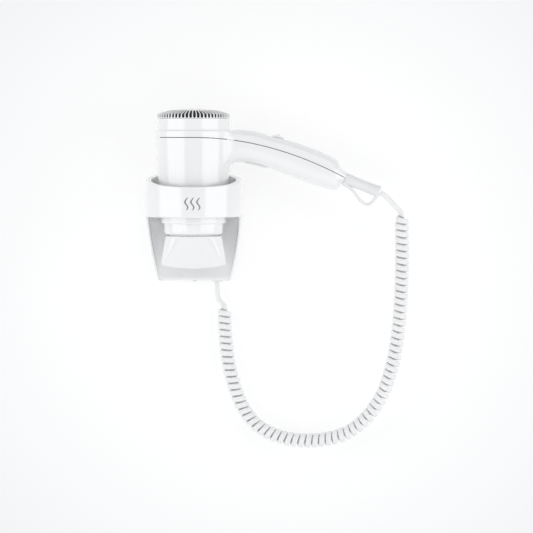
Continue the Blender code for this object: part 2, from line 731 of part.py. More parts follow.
def heater():
    """Mica sleeve, two crossed mica boards, the heating coil and its two safety devices."""
    turned("heater_sleeve", [(33.9, 26.0), (33.9, 68.0), (33.2, 68.0), (33.2, 26.0)], mica(), segments=36)
    low, middle, top, half = 26.5, 46.0, 65.0, 28.0
    slit = 0.7
    centre = (0.0, AXIS_Y, 0.0)
    upper_slit = [(slit, top), (slit, middle), (-slit, middle), (-slit, top)]
    board_a = [(-half, low), (half, low), (half, top)] + upper_slit + [(-half, top)]
    slab("heater_board_a", board_a, -0.4, 0.4, mica(), centre)
    lower_slit = [(-slit, low), (-slit, middle + GAP), (slit, middle + GAP), (slit, low)]
    board_b = [(-half, low)] + lower_slit + [(half, low), (half, top), (-half, top)]
    quarter = (0.0, 0.0, math.radians(90.0))
    slab("heater_board_b", board_b, -0.4, 0.4, mica(), centre, quarter)
    turns, steps, radius = 5, 12, 30.4
    helix = []
    for i in range(turns * steps + 1):
        angle = 2.0 * math.pi * i / steps
        z = 29.5 + 32.0 * i / (turns * steps)
        helix.append((radius * math.cos(angle), AXIS_Y + radius * math.sin(angle), z))
    tube("heater_coil", helix, 0.8, steel(), 0)
    block("thermostat", (11.0, 4.6, 8.0), grey_plastic(), (13.0, AXIS_Y + 3.2, 56.0), bevel=0.6)
    rod("thermal_fuse", 1.9, 12.0, brass(), (-12.0, AXIS_Y - 2.8, 50.0), segments=12)


def front_ring():
    """Stepped ring under the barrel, with a spigot inside it."""
    top = BARREL_BOTTOM_Z - 0.6
    outline = [
        (32.9, RING_BOTTOM_Z),
        (RING_RADIUS - 0.6, RING_BOTTOM_Z),
        (RING_RADIUS, RING_BOTTOM_Z + 0.6),
        (RING_RADIUS, top),
        (34.5, top),
        (34.5, 24.0),
        (32.9, 24.0),
    ]
    return turned("front_ring", outline, gloss_white())


def nozzle_socket():
    """Smaller ring that the concentrator snaps into."""
    outer_side = [(31.9, SOCKET_BOTTOM_Z), (SOCKET_RADIUS, 4.9), (32.5, 12.0)]
    outline = [(30.0, SOCKET_BOTTOM_Z)] + outer_side + [(30.0, 12.0)]
    return turned("nozzle_socket", outline, gloss_white())


def outlet_grille():
    """Slotted guard inside the outlet."""
    disc = turned("outlet_grille", [(0.0, 1.0), (29.6, 1.0), (29.6, 4.0), (0.0, 4.0)], dark_plastic())
    shape = bmesh.new()
    for i in range(7):
        x = 7.6 * (i - 3)
        length = 2.0 * math.sqrt(26.6**2 - x * x)
        centre = Matrix.Translation((x, 0.0, 2.5))
        bmesh.ops.create_cube(shape, size=1.0, matrix=centre @ Matrix.Diagonal((5.2, length, 9.0, 1.0)))
    combine(disc, place("slots", shape, None, (0.0, AXIS_Y, 0.0)), "DIFFERENCE")
    return disc


def concentrator_nozzle():
    """Air concentrator: a snap collar, then a flare from a circle to a flat slot with a bowed mouth."""
    steps = 36
    wall = 1.6

    def level(half_width, half_depth, z, squareness=2.0, bow=0.0):
        points = []
        for i in range(steps):
            angle = 2.0 * math.pi * i / steps
            across, out = math.cos(angle), math.sin(angle)
            x = half_width * math.copysign(abs(across) ** (2.0 / squareness), across)
            y = half_depth * math.copysign(abs(out) ** (2.0 / squareness), out)
            points.append((x, y, z - bow * (1.0 - (x / half_width) ** 2)))
        return points

    shares = (0.0, 0.25, 0.5, 0.75, 1.0)
    outside = []
    inside = []
    for share in shares:
        half_width = NOZZLE_TOP_RADIUS + (NOZZLE_HALF_WIDTH - NOZZLE_TOP_RADIUS) * share
        ease = share * share * (3.0 - 2.0 * share)
        flare = 0.35 * share + 0.65 * ease
        half_depth = NOZZLE_TOP_RADIUS + (NOZZLE_HALF_DEPTH - NOZZLE_TOP_RADIUS) * flare
        squareness = 2.0 + 1.6 * ease
        z = NOZZLE_TOP_Z + (NOZZLE_BOTTOM_Z - NOZZLE_TOP_Z) * share
        outside.append(level(half_width, half_depth, z, squareness, NOZZLE_BOW * share))
        inside.append(level(half_width - wall, half_depth - wall, z, squareness, NOZZLE_BOW * share))
    neck = [level(29.6, 29.6, -1.6), level(29.6, 29.6, NOZZLE_TOP_Z)]
    throat = level(29.6 - wall, 29.6 - wall, -1.6)
    levels = neck + outside + inside[::-1] + [throat]
    return loft("concentrator_nozzle", levels, gloss_white(), (0.0, AXIS_Y, 0.0), closed=True)


# Controls and wiring in the handle


def selector_slider():
    """Slide switch: ribbed thumb piece, stem through the slot and guide plate inside."""
    lean = tilt(SLIDER_TILT_DEG)
    origin = on_handle(SLIDER_X, SLIDER_TOP_Z, SLIDER_TILT_DEG, 0.0)
    ridge = [(2.2, 1.9), (0.8, 3.7), (-0.8, 3.7), (-2.2, 1.9)]
    profile = [(-6.0, -0.8), (6.0, -0.8), (6.0, 0.8)] + ridge + [(-6.0, 0.8)]
    slider = slab("selector_slider", profile, -4.6, 4.6, soft_white(), origin, lean, bevel=0.4)
    stem_at = on_handle(SLIDER_X, SLIDER_TOP_Z, SLIDER_TILT_DEG, -2.6)
    stem = block("stem", (7.0, 4.2, 5.0), None, stem_at, lean)
    combine(slider, stem, "UNION")
    plate_at = on_handle(SLIDER_X, SLIDER_TOP_Z, SLIDER_TILT_DEG, -4.6)
    combine(slider, block("plate", (15.0, 8.0, 1.6), None, plate_at, lean), "UNION")
    return slider


def selector_switch():
    """Switch body under the slider."""
    at = on_handle(SLIDER_X, SLIDER_TOP_Z, SLIDER_TILT_DEG, -10.6)
    return block("selector_switch", (16.0, 10.0, 8.6), dark_plastic(), at, tilt(SLIDER_TILT_DEG), bevel=0.5)


def safety_button():
    """Long push bar with a flange inside that keeps it in the housing."""
    lean = tilt(BUTTON_TILT_DEG)
    spot = on_handle(BUTTON_X, BUTTON_SURFACE_Z, BUTTON_TILT_DEG, 1.6)
    size = (BUTTON_LENGTH, BUTTON_WIDTH, 2 * (1.6 + BUTTON_PROUD))
    bar = block("safety_button", size, soft_white(), spot, lean, bevel=1.2)
    flange_at = on_handle(BUTTON_X, BUTTON_SURFACE_Z, BUTTON_TILT_DEG, 5.4)
    flange_size = (BUTTON_LENGTH + 4.0, BUTTON_WIDTH + 4.0, 1.4)
    combine(bar, block("flange", flange_size, None, flange_at, lean), "UNION")
    return bar


def button_spring():
    """Return spring between the push bar and its switch."""
    lean = math.radians(BUTTON_TILT_DEG)
    centre = Vector(on_handle(BUTTON_X, BUTTON_SURFACE_Z, BUTTON_TILT_DEG, 6.9))
    along = Vector((math.cos(lean), 0.0, -math.sin(lean)))
    up = Vector((math.sin(lean), 0.0, math.cos(lean)))
    points = []
    for i in range(25):
        angle = 2.0 * math.pi * i / 8
        outward = along * math.cos(angle) + Vector((0.0, math.sin(angle), 0.0))
        points.append(centre + 2.6 * outward + up * 4.4 * i / 24)
    return tube("button_spring", points, 0.35, steel(), 0)


def safety_switch():
    """Micro switch behind the push bar."""
    at = on_handle(BUTTON_X - 4.0, BUTTON_SURFACE_Z + 1.0, BUTTON_TILT_DEG, 16.2)
    return block("safety_switch", (16.0, 8.0, 8.6), dark_plastic(), at, tilt(BUTTON_TILT_DEG), bevel=0.5)


def circuit_board():
    """Upright board beside the screw bosses, with its rectifier."""
    lean = tilt(23.0)
    green = material("board_green", GREEN, 0.5)
    block("circuit_board", (34.0, 1.6, 15.0), green, (118.0, AXIS_Y + 9.0, 71.5), lean)
    block("rectifier", (9.0, 3.4, 9.0), dark_plastic(), (120.0, AXIS_Y + 6.1, 71.0), lean, bevel=0.4)


GUARD_LEAN_DEG = 21.8
GUARD_START = (165.5, 53.0)


def cord_guard():
    """Strain relief: a round arm over the cord, a hanging loop under it and a root held in the handle."""
    top = [(167.2, 58.0), (180.0, 53.2), (191.6, 48.6), (202.4, 44.6)]
    tip = [(198.4, 32.4), (192.4, 25.2)]
    round_end = [(188.6, 23.4), (184.2, 25.8)]
    back = [(180.0, 31.4), (173.4, 39.2), (168.8, 43.2), (163.0, 48.0)]
    outline = top + tip + round_end + back
    guard = slab("cord_guard", outline, -4.0, 4.0, soft_white(), (0.0, AXIS_Y, 0.0), bevel=1.0)
    hole = [(174.6, 42.6), (180.4, 35.2), (188.4, 27.6), (194.0, 33.0), (190.6, 36.4), (180.6, 41.0)]
    combine(guard, slab("hole", hole, -8.0, 8.0, None, (0.0, AXIS_Y, 0.0)), "DIFFERENCE")
    lean = tilt(90.0 + GUARD_LEAN_DEG)
    arm_at = (GUARD_START[0], AXIS_Y, GUARD_START[1])
    arm = [(0.0, 2.0), (6.5, 2.0), (6.4, 20.0), (6.0, 37.2), (5.2, 38.2), (0.0, 38.2)]
    combine(guard, turned("arm", arm, None, arm_at, lean, 24), "UNION")
    root = [(0.0, -12.0), (6.4, -12.0), (6.4, -9.4), (3.9, -9.4), (3.9, 3.0), (0.0, 3.0)]
    combine(guard, turned("root", root, None, arm_at, lean, 20), "UNION")
    bore = [(0.0, -16.0), (LEAD_RADIUS + GAP, -16.0), (LEAD_RADIUS + GAP, 50.0), (0.0, 50.0)]
    combine(guard, turned("bore", bore, None, arm_at, lean, 16), "DIFFERENCE")
    return guard


def handle_cord_clamp():
    """Bar and two screws that grip the cord inside the handle."""
    lean_deg = GUARD_LEAN_DEG
    lean = tilt(lean_deg)
    x, z = 146.0, 60.8
    bar_at = on_handle(x, z, lean_deg, 4.2)
    bar = block("handle_clamp_bar", (5.0, 17.0, 2.4), grey_plastic(), bar_at, lean, bevel=0.4)
    for side, label in ((-1, "left"), (1, "right")):
        at = on_handle(x, z, lean_deg, 0.0)
        at = (at[0], AXIS_Y + 5.4 * side, at[2])
        combine(bar, rod("hole", 1.5, 20.0, None, at, lean), "DIFFERENCE")
        outline = [(0.0, -3.0), (1.1, -3.0), (1.1, 5.8), (2.2, 5.8), (2.2, 7.0), (0.0, 7.0)]
        turned(f"handle_clamp_screw_{label}", outline, steel(), at, lean, 12)


def handle_inner_lead():
    """The cord's end inside the handle, through the strain relief and under the clamp."""
    lean = math.radians(GUARD_LEAN_DEG)
    along = Vector((math.cos(lean), 0.0, -math.sin(lean)))
    start = Vector((GUARD_START[0], AXIS_Y, GUARD_START[1]))
    points = [start + along * (30.0 - 4.0 * i) for i in range(13)]
    return tube("handle_inner_lead", points, LEAD_RADIUS - 0.2, soft_white())


def inner_wires():
    """Insulated wires from the switches to the heater and the motor."""
    grey = grey_plastic()
    route = [
        (80.0, AXIS_Y - 8.0, 82.0),
        (60.0, AXIS_Y - 9.0, 88.0),
        (44.0, AXIS_Y - 8.0, 78.5),
        (30.0, AXIS_Y - 8.0, 71.4),
        (20.0, AXIS_Y - 8.0, 70.2),
    ]
    tube("heater_wire", smooth_route(route, 8.0), 1.0, grey)
    route = [
        (80.0, AXIS_Y + 8.0, 84.0),
        (60.0, AXIS_Y + 9.0, 87.0),
        (44.0, AXIS_Y + 8.0, 78.0),
        (30.0, AXIS_Y + 6.0, 71.2),
        (12.0, AXIS_Y + 4.0, 70.2),
    ]
    tube("motor_wire", smooth_route(route, 8.0), 1.0, grey)


# Cord: a short lead, the curly part as one fat tube, and a short lead back into the holder.

LEAD_FROM_HANDLE = [
    (202.2, -56.0, 38.1),
    (206.8, -56.0, 35.4),
    (212.4, -55.8, 30.0),
    (218.4, -55.4, 23.4),
    (223.4, -54.8, 18.4),
    (225.2, -54.2, 13.2),
]
COIL_ROUTE = [
    (225.2, -54.0, 12.3),
    (226.2, -52.0, -23.8),
    (225.8, -49.5, -62.4),
    (223.4, -46.5, -104.7),
    (217.6, -43.0, -145.1),
    (205.4, -39.0, -183.5),
    (185.0, -35.0, -212.4),
    (158.8, -31.0, -229.2),
    (126.2, -27.5, -234.8),
    (96.2, -24.5, -231.6),
    (69.3, -22.0, -219.0),
    (50.9, -20.0, -194.5),
    (38.6, -18.5, -156.3),
    (33.9, -17.0, -121.0),
    (32.6, -16.0, -91.0),
]
LEAD_TO_HOLDER = [
    (32.6, -16.0, -89.6),
    (32.0, -15.4, -87.4),
    (29.6, -13.0, -84.4),
    (26.6, -10.4, -81.0),
    (25.1, -9.0, -76.5),
    (24.7, -8.5, -70.0),
    (24.7, -8.5, -60.9),
]


def cord():
    """The free cord's three solids."""
    white = soft_white()
    tube("cord_lead_dryer", smooth_route(LEAD_FROM_HANDLE, 6.0), LEAD_RADIUS, white)
    tube("cord_coil", smooth_route(COIL_ROUTE, 24.0), COIL_RADIUS, white)
    tube("cord_lead_holder", smooth_route(LEAD_TO_HOLDER, 6.0), LEAD_RADIUS, white)


def main():
    for old in list(bpy.data.objects):
        bpy.data.objects.remove(old)
    for make in (
        holder_shell,
        holder_back_plate,
        rest_ring,
        shell_screw,
        terminal_block,
        cord_gland,
        cord_clamp,
        holder_inner_lead,
        upper_housing,
        lower_housing,
        housing_screws,
        intake_grille,
        intake_mesh,
        fan_duct,
        motor,
        impeller,
        heater,
        front_ring,
        nozzle_socket,
        outlet_grille,
        concentrator_nozzle,
        selector_slider,
        selector_switch,
        safety_button,
        button_spring,
        safety_switch,
        circuit_board,
        cord_guard,
        handle_cord_clamp,
        handle_inner_lead,
        inner_wires,
        cord,
    ):
        make()


main()
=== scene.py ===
"""Wall-mounted hair dryer resting in its holder: the visual model, the studio and the camera."""

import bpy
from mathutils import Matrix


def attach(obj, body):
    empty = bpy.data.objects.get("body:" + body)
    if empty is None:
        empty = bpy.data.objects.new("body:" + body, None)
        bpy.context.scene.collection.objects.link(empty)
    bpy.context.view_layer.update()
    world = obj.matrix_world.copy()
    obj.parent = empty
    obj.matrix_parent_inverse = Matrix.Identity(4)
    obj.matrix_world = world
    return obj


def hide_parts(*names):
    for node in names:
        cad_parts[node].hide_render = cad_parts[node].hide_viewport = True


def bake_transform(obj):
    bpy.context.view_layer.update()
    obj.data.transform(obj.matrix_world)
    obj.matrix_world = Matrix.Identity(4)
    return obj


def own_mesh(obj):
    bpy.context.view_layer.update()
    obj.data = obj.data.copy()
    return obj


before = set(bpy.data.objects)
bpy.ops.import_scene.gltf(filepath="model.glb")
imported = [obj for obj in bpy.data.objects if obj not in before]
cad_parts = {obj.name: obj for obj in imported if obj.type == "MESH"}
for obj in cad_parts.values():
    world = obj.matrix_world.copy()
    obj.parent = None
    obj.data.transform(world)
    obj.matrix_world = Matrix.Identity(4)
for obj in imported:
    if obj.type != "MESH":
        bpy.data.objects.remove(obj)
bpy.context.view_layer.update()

import math

import bmesh
import bpy
from mathutils import Matrix, Vector

# Sizes are in millimetres here; place() turns a finished mesh into metres.
# X is to the right along the wall, Y goes into the wall and Z is up. The wall is the plane Y = 0.
MM = 0.001
AXIS_Y = -56.0
HOUSING_WALL = 2.2
SEAM_GAP = 0.75
RIB_HALF_HEIGHT = 1.6  # of the locating ribs behind the parting line
RIB_INNER, RIB_OUTER = 11.4, 12.6  # their faces, from the handle's middle plane

HOLDER_HALF_WIDTH = 51.8
HOLDER_BOTTOM_Z = -59.0
HOLDER_WALL = 2.6
HOLDER_TAPER = 0.0196
COLLAR_BOTTOM_Z = 12.3
COLLAR_AXIS_TOP_Z = 52.7
COLLAR_TILT_DEG = 8.0
COLLAR_INNER_RADIUS = 45.8
FOOT_INNER_RADIUS = 48.5
WEB_TOP_Z = 46.0
WEB_BOTTOM_Z = 9.9
WEB_DROP = 16.0
FLANGE_RADIUS = 35.8
FLANGE_TOP_Z = 14.6
BACK_PANEL_Y = -19.0
WIRING_DEPTH_Y = -16.4
BACK_POWER = 2.1  # how square the scoop's back is in plan
FOOT_RADIUS = 2.5
PLATE_TOP_Z = 26.0
PLATE_BOTTOM_Z = -55.0
PLATE_THICKNESS = 3.2
PLATE_GAP = 0.3

BARREL_BOTTOM_Z = 16.9
BARREL_TOP_Z = 118.3
SEAM_Z = 98.0
SEAM_FALL = 0.00162  # along the handle, per millimetre squared
DOME_SHOULDER_Z = 122.8
DOME_TOP_Z = 130.0
DOME_RISE = 6.6
DOME_RADIUS = 39.0
INTAKE_SLOTS = 60

RING_RADIUS = 35.0
RING_BOTTOM_Z = 5.2
SOCKET_RADIUS = 32.5
SOCKET_BOTTOM_Z = -6.2
NOZZLE_TOP_Z = -8.4
NOZZLE_TOP_RADIUS = 31.0
NOZZLE_BOTTOM_Z = -39.5
NOZZLE_BOW = 4.1
NOZZLE_HALF_WIDTH = 35.2
NOZZLE_HALF_DEPTH = 9.6

SLIDER_X = 91.5
SLIDER_TOP_Z = 98.3
SLIDER_TILT_DEG = 12.6
BUTTON_X = 68.2
BUTTON_SURFACE_Z = 69.4
BUTTON_TILT_DEG = 13.8
BUTTON_LENGTH = 25.6
BUTTON_WIDTH = 9.0
BUTTON_PROUD = 2.2
BUTTON_PLAY = 0.9

COIL_RADIUS = 7.85
EXIT_X = 24.7
EXIT_Y = -8.5
GUARD_START = (165.5, 53.0)
GUARD_LEAN_DEG = 21.8


# Camera


def stand(made, at, aim):
    """Puts a camera or a light in its place and points it at a spot."""
    made.location = at
    made.rotation_euler = (Vector(aim) - Vector(at)).to_track_quat("-Z", "Y").to_euler()
    bpy.context.collection.objects.link(made)


def camera():
    """A long lens, three metres in front of the wall and a little above the dryer."""
    data = bpy.data.cameras.new("camera")
    data.lens = 187.0
    data.sensor_width = 36.0
    data.clip_end = 50.0
    made = bpy.data.objects.new("camera", data)
    stand(made, (0.079, -3.056, 0.110), (0.079, -0.056, -0.042))
    bpy.context.scene.camera = made


# Materials


class Nodes:
    """A small helper that adds nodes to a material and links them."""

    def __init__(self, name):
        self.material = bpy.data.materials.new(name)
        self.material.use_nodes = True
        self.tree = self.material.node_tree
        self.shader = self.tree.nodes["Principled BSDF"]
        self.place = self.add("ShaderNodeTexCoord").outputs["Object"]

    def add(self, kind, **inputs):
        node = self.tree.nodes.new(kind)
        self.feed(node, **inputs)
        return node

    def feed(self, node, **inputs):
        """Links or sets a node's inputs; a space in an input's name is written as _."""
        for label, value in inputs.items():
            socket = node.inputs[label.replace("_", " ")]
            if isinstance(value, bpy.types.NodeSocket):
                self.tree.links.new(value, socket)
            else:
                socket.default_value = value

    def stretched(self, scale):
        """Object coordinates scaled differently along each axis."""
        return self.add("ShaderNodeMapping", Vector=self.place, Scale=scale).outputs["Vector"]

    def noise(self, scale, detail=2.0, where=None):
        made = self.add("ShaderNodeTexNoise", Vector=where or self.place, Scale=scale, Detail=detail)
        return made.outputs["Fac"]

    def spread(self, value, low, high):
        """Maps the middle of a noise to a range."""
        limits = {"From_Min": 0.3, "From_Max": 0.7, "To_Min": low, "To_Max": high}
        return self.add("ShaderNodeMapRange", Value=value, **limits).outputs["Result"]

    def ramp(self, value, *stops):
        made = self.add("ShaderNodeValToRGB", Fac=value)
        ramp = made.color_ramp
        while len(ramp.elements) < len(stops):
            ramp.elements.new(0.5)
        for element, (position, colour) in zip(ramp.elements, stops):
            element.position = position
            element.color = (*colour, 1.0)
        return made.outputs["Color"]

    def bump(self, height, strength, distance):
        made = self.add("ShaderNodeBump", Height=height, Strength=strength, Distance=distance)
        self.tree.links.new(made.outputs["Normal"], self.shader.inputs["Normal"])

    def surface(self, colour, roughness):
        self.feed(self.shader, Base_Color=colour, Roughness=roughness)


def moulded(name, light, dull, roughness, spread, grain, relief, coat=0.0):
    """Moulded plastic: faint clouding, a fine grain and smudges in its gloss."""
    made = Nodes(name)
    cloud = made.ramp(made.noise(26.0, 3.0), (0.3, dull), (0.7, light))
    smudge = made.noise(70.0, 4.0)
    made.surface(cloud, made.spread(smudge, roughness - spread, roughness + spread))
    made.bump(made.noise(grain, 2.0), relief, 0.0002)
    made.feed(made.shader, Coat_Weight=coat, Coat_Roughness=0.12, IOR=1.5)
    return made.material


def metal(name, light, dull, roughness, stretch):
    """Drawn or turned metal, with fine lines along it and dull patches."""
    made = Nodes(name)
    lines = made.noise(900.0, 2.0, made.stretched(stretch))
    tone = made.ramp(lines, (0.3, dull), (0.7, light))
    spread = 0.08
    made.surface(tone, made.spread(lines, roughness - spread, roughness + spread))
    made.feed(made.shader, Metallic=1.0)
    made.bump(lines, 0.15, 0.0001)
    return made.material


def layered_mica():
    """Pressed mica: flaky, in warm greys and browns."""
    made = Nodes("mica")
    flakes = made.add("ShaderNodeTexVoronoi", Vector=made.place, Scale=420.0).outputs["Distance"]
    tone = made.ramp(flakes, (0.0, (0.74, 0.68, 0.53)), (0.5, (0.55, 0.48, 0.34)), (1.0, (0.80, 0.75, 0.62)))
    made.surface(tone, made.spread(made.noise(200.0), 0.35, 0.7))
    made.bump(flakes, 0.3, 0.0003)
    return made.material


def printed_board():
    """Green solder mask with faint tracks under it."""
    made = Nodes("board")
    tracks = made.add("ShaderNodeTexBrick", Vector=made.stretched((1.0, 1.0, 1.0)), Scale=160.0)
    made.surface(made.ramp(tracks.outputs["Fac"], (0.0, (0.03, 0.20, 0.10)), (1.0, (0.06, 0.30, 0.15))), 0.35)
    made.bump(tracks.outputs["Fac"], 0.2, 0.0002)
    return made.material


def lint_screen():
    """Black woven screen: a fine check of holes and threads."""
    made = Nodes("screen")
    weave = made.add("ShaderNodeTexChecker", Vector=made.place, Scale=1400.0).outputs["Fac"]
    made.surface(made.ramp(weave, (0.0, (0.006, 0.006, 0.007)), (1.0, (0.035, 0.035, 0.038))), 0.7)
    made.bump(weave, 0.4, 0.0003)
    return made.material


ALONG_Z = (1.0, 1.0, 0.06)  # a stretch that draws noise out into lines along Z


def make_materials():
    return {
        "gloss": moulded(
            "gloss_white", (0.885, 0.89, 0.895), (0.865, 0.87, 0.875), 0.20, 0.03, 1300.0, 0.02, coat=1.0
        ),
        "satin": moulded("satin_white", (0.86, 0.865, 0.87), (0.83, 0.835, 0.84), 0.38, 0.06, 1800.0, 0.10),
        "guard": moulded("soft_grey", (0.83, 0.835, 0.84), (0.80, 0.805, 0.81), 0.46, 0.06, 2200.0, 0.14),
        "cord": moulded("cord_white", (0.88, 0.885, 0.89), (0.84, 0.845, 0.85), 0.34, 0.05, 1600.0, 0.08),
        "pad": moulded("soft_pad", (0.42, 0.425, 0.43), (0.36, 0.365, 0.37), 0.72, 0.08, 2600.0, 0.30),
        "grey": moulded("grey", (0.55, 0.555, 0.56), (0.50, 0.505, 0.51), 0.5, 0.08, 1500.0, 0.15),
        "dark": moulded("dark", (0.055, 0.055, 0.058), (0.035, 0.035, 0.038), 0.5, 0.08, 1500.0, 0.15),
        "print": moulded("printed_grey", (0.27, 0.27, 0.28), (0.22, 0.22, 0.23), 0.5, 0.05, 1500.0, 0.05),
        "wire": moulded("wire", (0.50, 0.51, 0.53), (0.44, 0.45, 0.47), 0.5, 0.06, 1800.0, 0.1),
        "steel": metal("steel", (0.66, 0.67, 0.69), (0.50, 0.51, 0.53), 0.30, ALONG_Z),
        "brass": metal("brass", (0.80, 0.64, 0.34), (0.66, 0.50, 0.24), 0.30, ALONG_Z),
        "mica": layered_mica(),
        "board": printed_board(),
        "screen": lint_screen(),
    }


# Tools


def shade(mesh, sharp_deg):
    """Smooths a mesh, but for edges sharper than an angle."""
    mesh.shade_smooth()
    mesh.set_sharp_from_angle(angle=math.radians(sharp_deg))


def place(name, shape, finish, at=(0.0, 0.0, 0.0), turn=None, sharp_deg=38.0, sheet=False):
    """Turns a bmesh in millimetres into a named object; a sheet's faces keep the side they face."""
    if not sheet:
        bmesh.ops.recalc_face_normals(shape, faces=shape.faces)
    bmesh.ops.scale(shape, vec=(MM, MM, MM), verts=shape.verts)
    mesh = bpy.data.meshes.new(name)
    shape.to_mesh(mesh)
    shape.free()
    shade(mesh, sharp_deg)
    if finish:
        mesh.materials.append(finish)
    made = bpy.data.objects.new(name, mesh)
    made.location = Vector(at) * MM
    if turn:
        made.rotation_euler = turn
    bpy.context.collection.objects.link(made)
    return made


def show(piece, body, slot, *nodes):
    """Fixes a finished piece to its body, and hides the CAD nodes it stands for."""
    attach(piece, body)
    if nodes:
        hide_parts(*nodes)
    return piece


def bake(body):
    """Applies a piece's modifiers to its mesh."""
    bpy.context.view_layer.update()
    graph = bpy.context.evaluated_depsgraph_get()
    mesh = bpy.data.meshes.new_from_object(body.evaluated_get(graph))
    old = body.data
    body.modifiers.clear()
    body.data = mesh
    bpy.data.meshes.remove(old)
    mesh.name = body.name


def combine(body, tool, operation):
    """Cuts, joins or intersects a piece with a tool, and removes the tool."""
    modifier = body.modifiers.new(operation.title(), "BOOLEAN")
    modifier.operation = operation
    modifier.solver = "EXACT"
    modifier.object = tool
    bake(body)
    old = tool.data
    bpy.data.objects.remove(tool)
    bpy.data.meshes.remove(old)


def soften(body, width, angle_deg=40.0, segments=3):
    """Rounds a piece's sharp edges."""
    modifier = body.modifiers.new("Bevel", "BEVEL")
    modifier.width = width * MM
    modifier.segments = segments
    modifier.limit_method = "ANGLE"
    modifier.angle_limit = math.radians(angle_deg)
    bake(body)
    shade(body.data, 50.0)
    return body


def tilt(degrees):
    """A rotation about +Y that lowers the +X end."""
    return (0.0, math.radians(degrees), 0.0)


def around(count):
    """The cosine and sine of even steps round a circle."""
    angles = [2.0 * math.pi * i / count for i in range(count)]
    return [(math.cos(angle), math.sin(angle)) for angle in angles]


def arc(centre, radius, start_deg, end_deg, steps):
    """Points along an arc, both ends included; radius may be a pair for an ellipse."""
    across, up = radius if isinstance(radius, tuple) else (radius, radius)
    points = []
    for i in range(steps + 1):
        angle = math.radians(start_deg + (end_deg - start_deg) * i / steps)
        points.append((centre[0] + across * math.cos(angle), centre[1] + up * math.sin(angle)))
    return points


def rounded(outline, radius, steps=4):
    """A closed outline with each corner turned into an arc."""
    made = []
    for before, corner, after in zip(outline[-1:] + outline[:-1], outline, outline[1:] + outline[:1]):
        corner = Vector(corner)
        back, ahead = Vector(before) - corner, Vector(after) - corner
        reach = min(radius, 0.45 * back.length, 0.45 * ahead.length)
        start, end = corner + back.normalized() * reach, corner + ahead.normalized() * reach
        for i in range(steps + 1):
            t = i / steps
            point = start * (1 - t) ** 2 + corner * 2 * t * (1 - t) + end * t * t
            made.append(tuple(point))
    return made


def turned(name, outline, finish, at=(0.0, AXIS_Y, 0.0), turn=None, segments=128):
    """A closed outline of (radius, height) points turned about the local Z axis."""
    shape = bmesh.new()
    rings = []
    for radius, height in outline:
        if radius <= 0.0:
            rings.append([shape.verts.new((0.0, 0.0, height))] * segments)
            continue
        points = [(radius * across, radius * out, height) for across, out in around(segments)]
        rings.append([shape.verts.new(point) for point in points])
    for lower, upper in zip(rings, rings[1:] + rings[:1]):
        for i in range(segments):
            j = (i + 1) % segments
            corners = list(dict.fromkeys((lower[i], lower[j], upper[j], upper[i])))
            if len(corners) > 2:
                shape.faces.new(corners)
    return place(name, shape, finish, at, turn)


def join(shape, lower, upper):
    """Quads between two closed loops of equal length."""
    for i in range(len(lower)):
        j = (i + 1) % len(lower)
        shape.faces.new((lower[i], lower[j], upper[j], upper[i]))


def loft(name, levels, finish, at=(0.0, 0.0, 0.0), turn=None, closed=False, sharp_deg=38.0):
    """Skins a list of loops of equal length; a closed loft joins its last loop to its first."""
    shape = bmesh.new()
    loops = [[shape.verts.new(point) for point in level] for level in levels]
    pairs = list(zip(loops, loops[1:]))
    if closed:
        pairs.append((loops[-1], loops[0]))
    else:
        shape.faces.new(loops[0])
        shape.faces.new(loops[-1])
    for lower, upper in pairs:
        join(shape, lower, upper)
    return place(name, shape, finish, at, turn, sharp_deg)


def slab(name, outline, low_y, high_y, finish, at=(0.0, 0.0, 0.0), turn=None):
    """An (x, z) outline extruded along Y."""
    levels = [[(x, y, z) for x, z in outline] for y in (low_y, high_y)]
    return loft(name, levels, finish, at, turn)


def block(name, size, finish, at, turn=None, radius=0.0):
    """A box centred on a point, with rounded edges if asked."""
    shape = bmesh.new()
    bmesh.ops.create_cube(shape, size=1.0)
    bmesh.ops.scale(shape, vec=size, verts=shape.verts)
    if radius:
        bmesh.ops.bevel(shape, geom=list(shape.edges), offset=radius, segments=4, affect="EDGES", profile=0.5)
    return place(name, shape, finish, at, turn)


def smooth_route(points, spacing):
    """Points at an even spacing along a smooth curve through the route's own points."""
    route = [Vector(point) for point in points]
    ends = [2 * route[0] - route[1]] + route + [2 * route[-1] - route[-2]]
    dense = []
    for a, b, c, d in zip(ends, ends[1:], ends[2:], ends[3:]):
        for i in range(24):
            t = i / 24
            flat = 2 * b + (c - a) * t + (2 * a - 5 * b + 4 * c - d) * t * t
            dense.append(0.5 * (flat + (3 * b - a - 3 * c + d) * t**3))
    dense.append(route[-1])
    length = route_length(dense)
    count = max(2, round(length / spacing))
    even = [dense[0]]
    travelled = 0.0
    for p, q in zip(dense, dense[1:]):
        step = (q - p).length
        while step and travelled + step >= length * len(even) / count and len(even) < count:
            even.append(p.lerp(q, (length * len(even) / count - travelled) / step))
        travelled += step
    return even + [dense[-1]]


def route_length(points):
    return sum((q - p).length for p, q in zip(points, points[1:]))


def heading(points, i):
    """The direction of a line of points at one of them."""
    return (points[min(i + 1, len(points) - 1)] - points[max(i - 1, 0)]).normalized()


def squared(value, power):
    """A sine or cosine drawn towards 1, which squares off an oval."""
    return math.copysign(abs(value) ** power, value)


def flat_oval(half_wide, half_thick, count):
    """Points round the squared-off oval of the cord and the strap."""
    corners = [(squared(x, FLAT_POWER), squared(y, FLAT_POWER)) for x, y in around(count)]
    return [(half_wide * x, half_thick * y) for x, y in corners]


def smoothstep(value):
    value = min(1.0, max(0.0, value))
    return value * value * (3.0 - 2.0 * value)


# Cord: one flat lead, wound into a curly middle part, from the handle back into the holder.

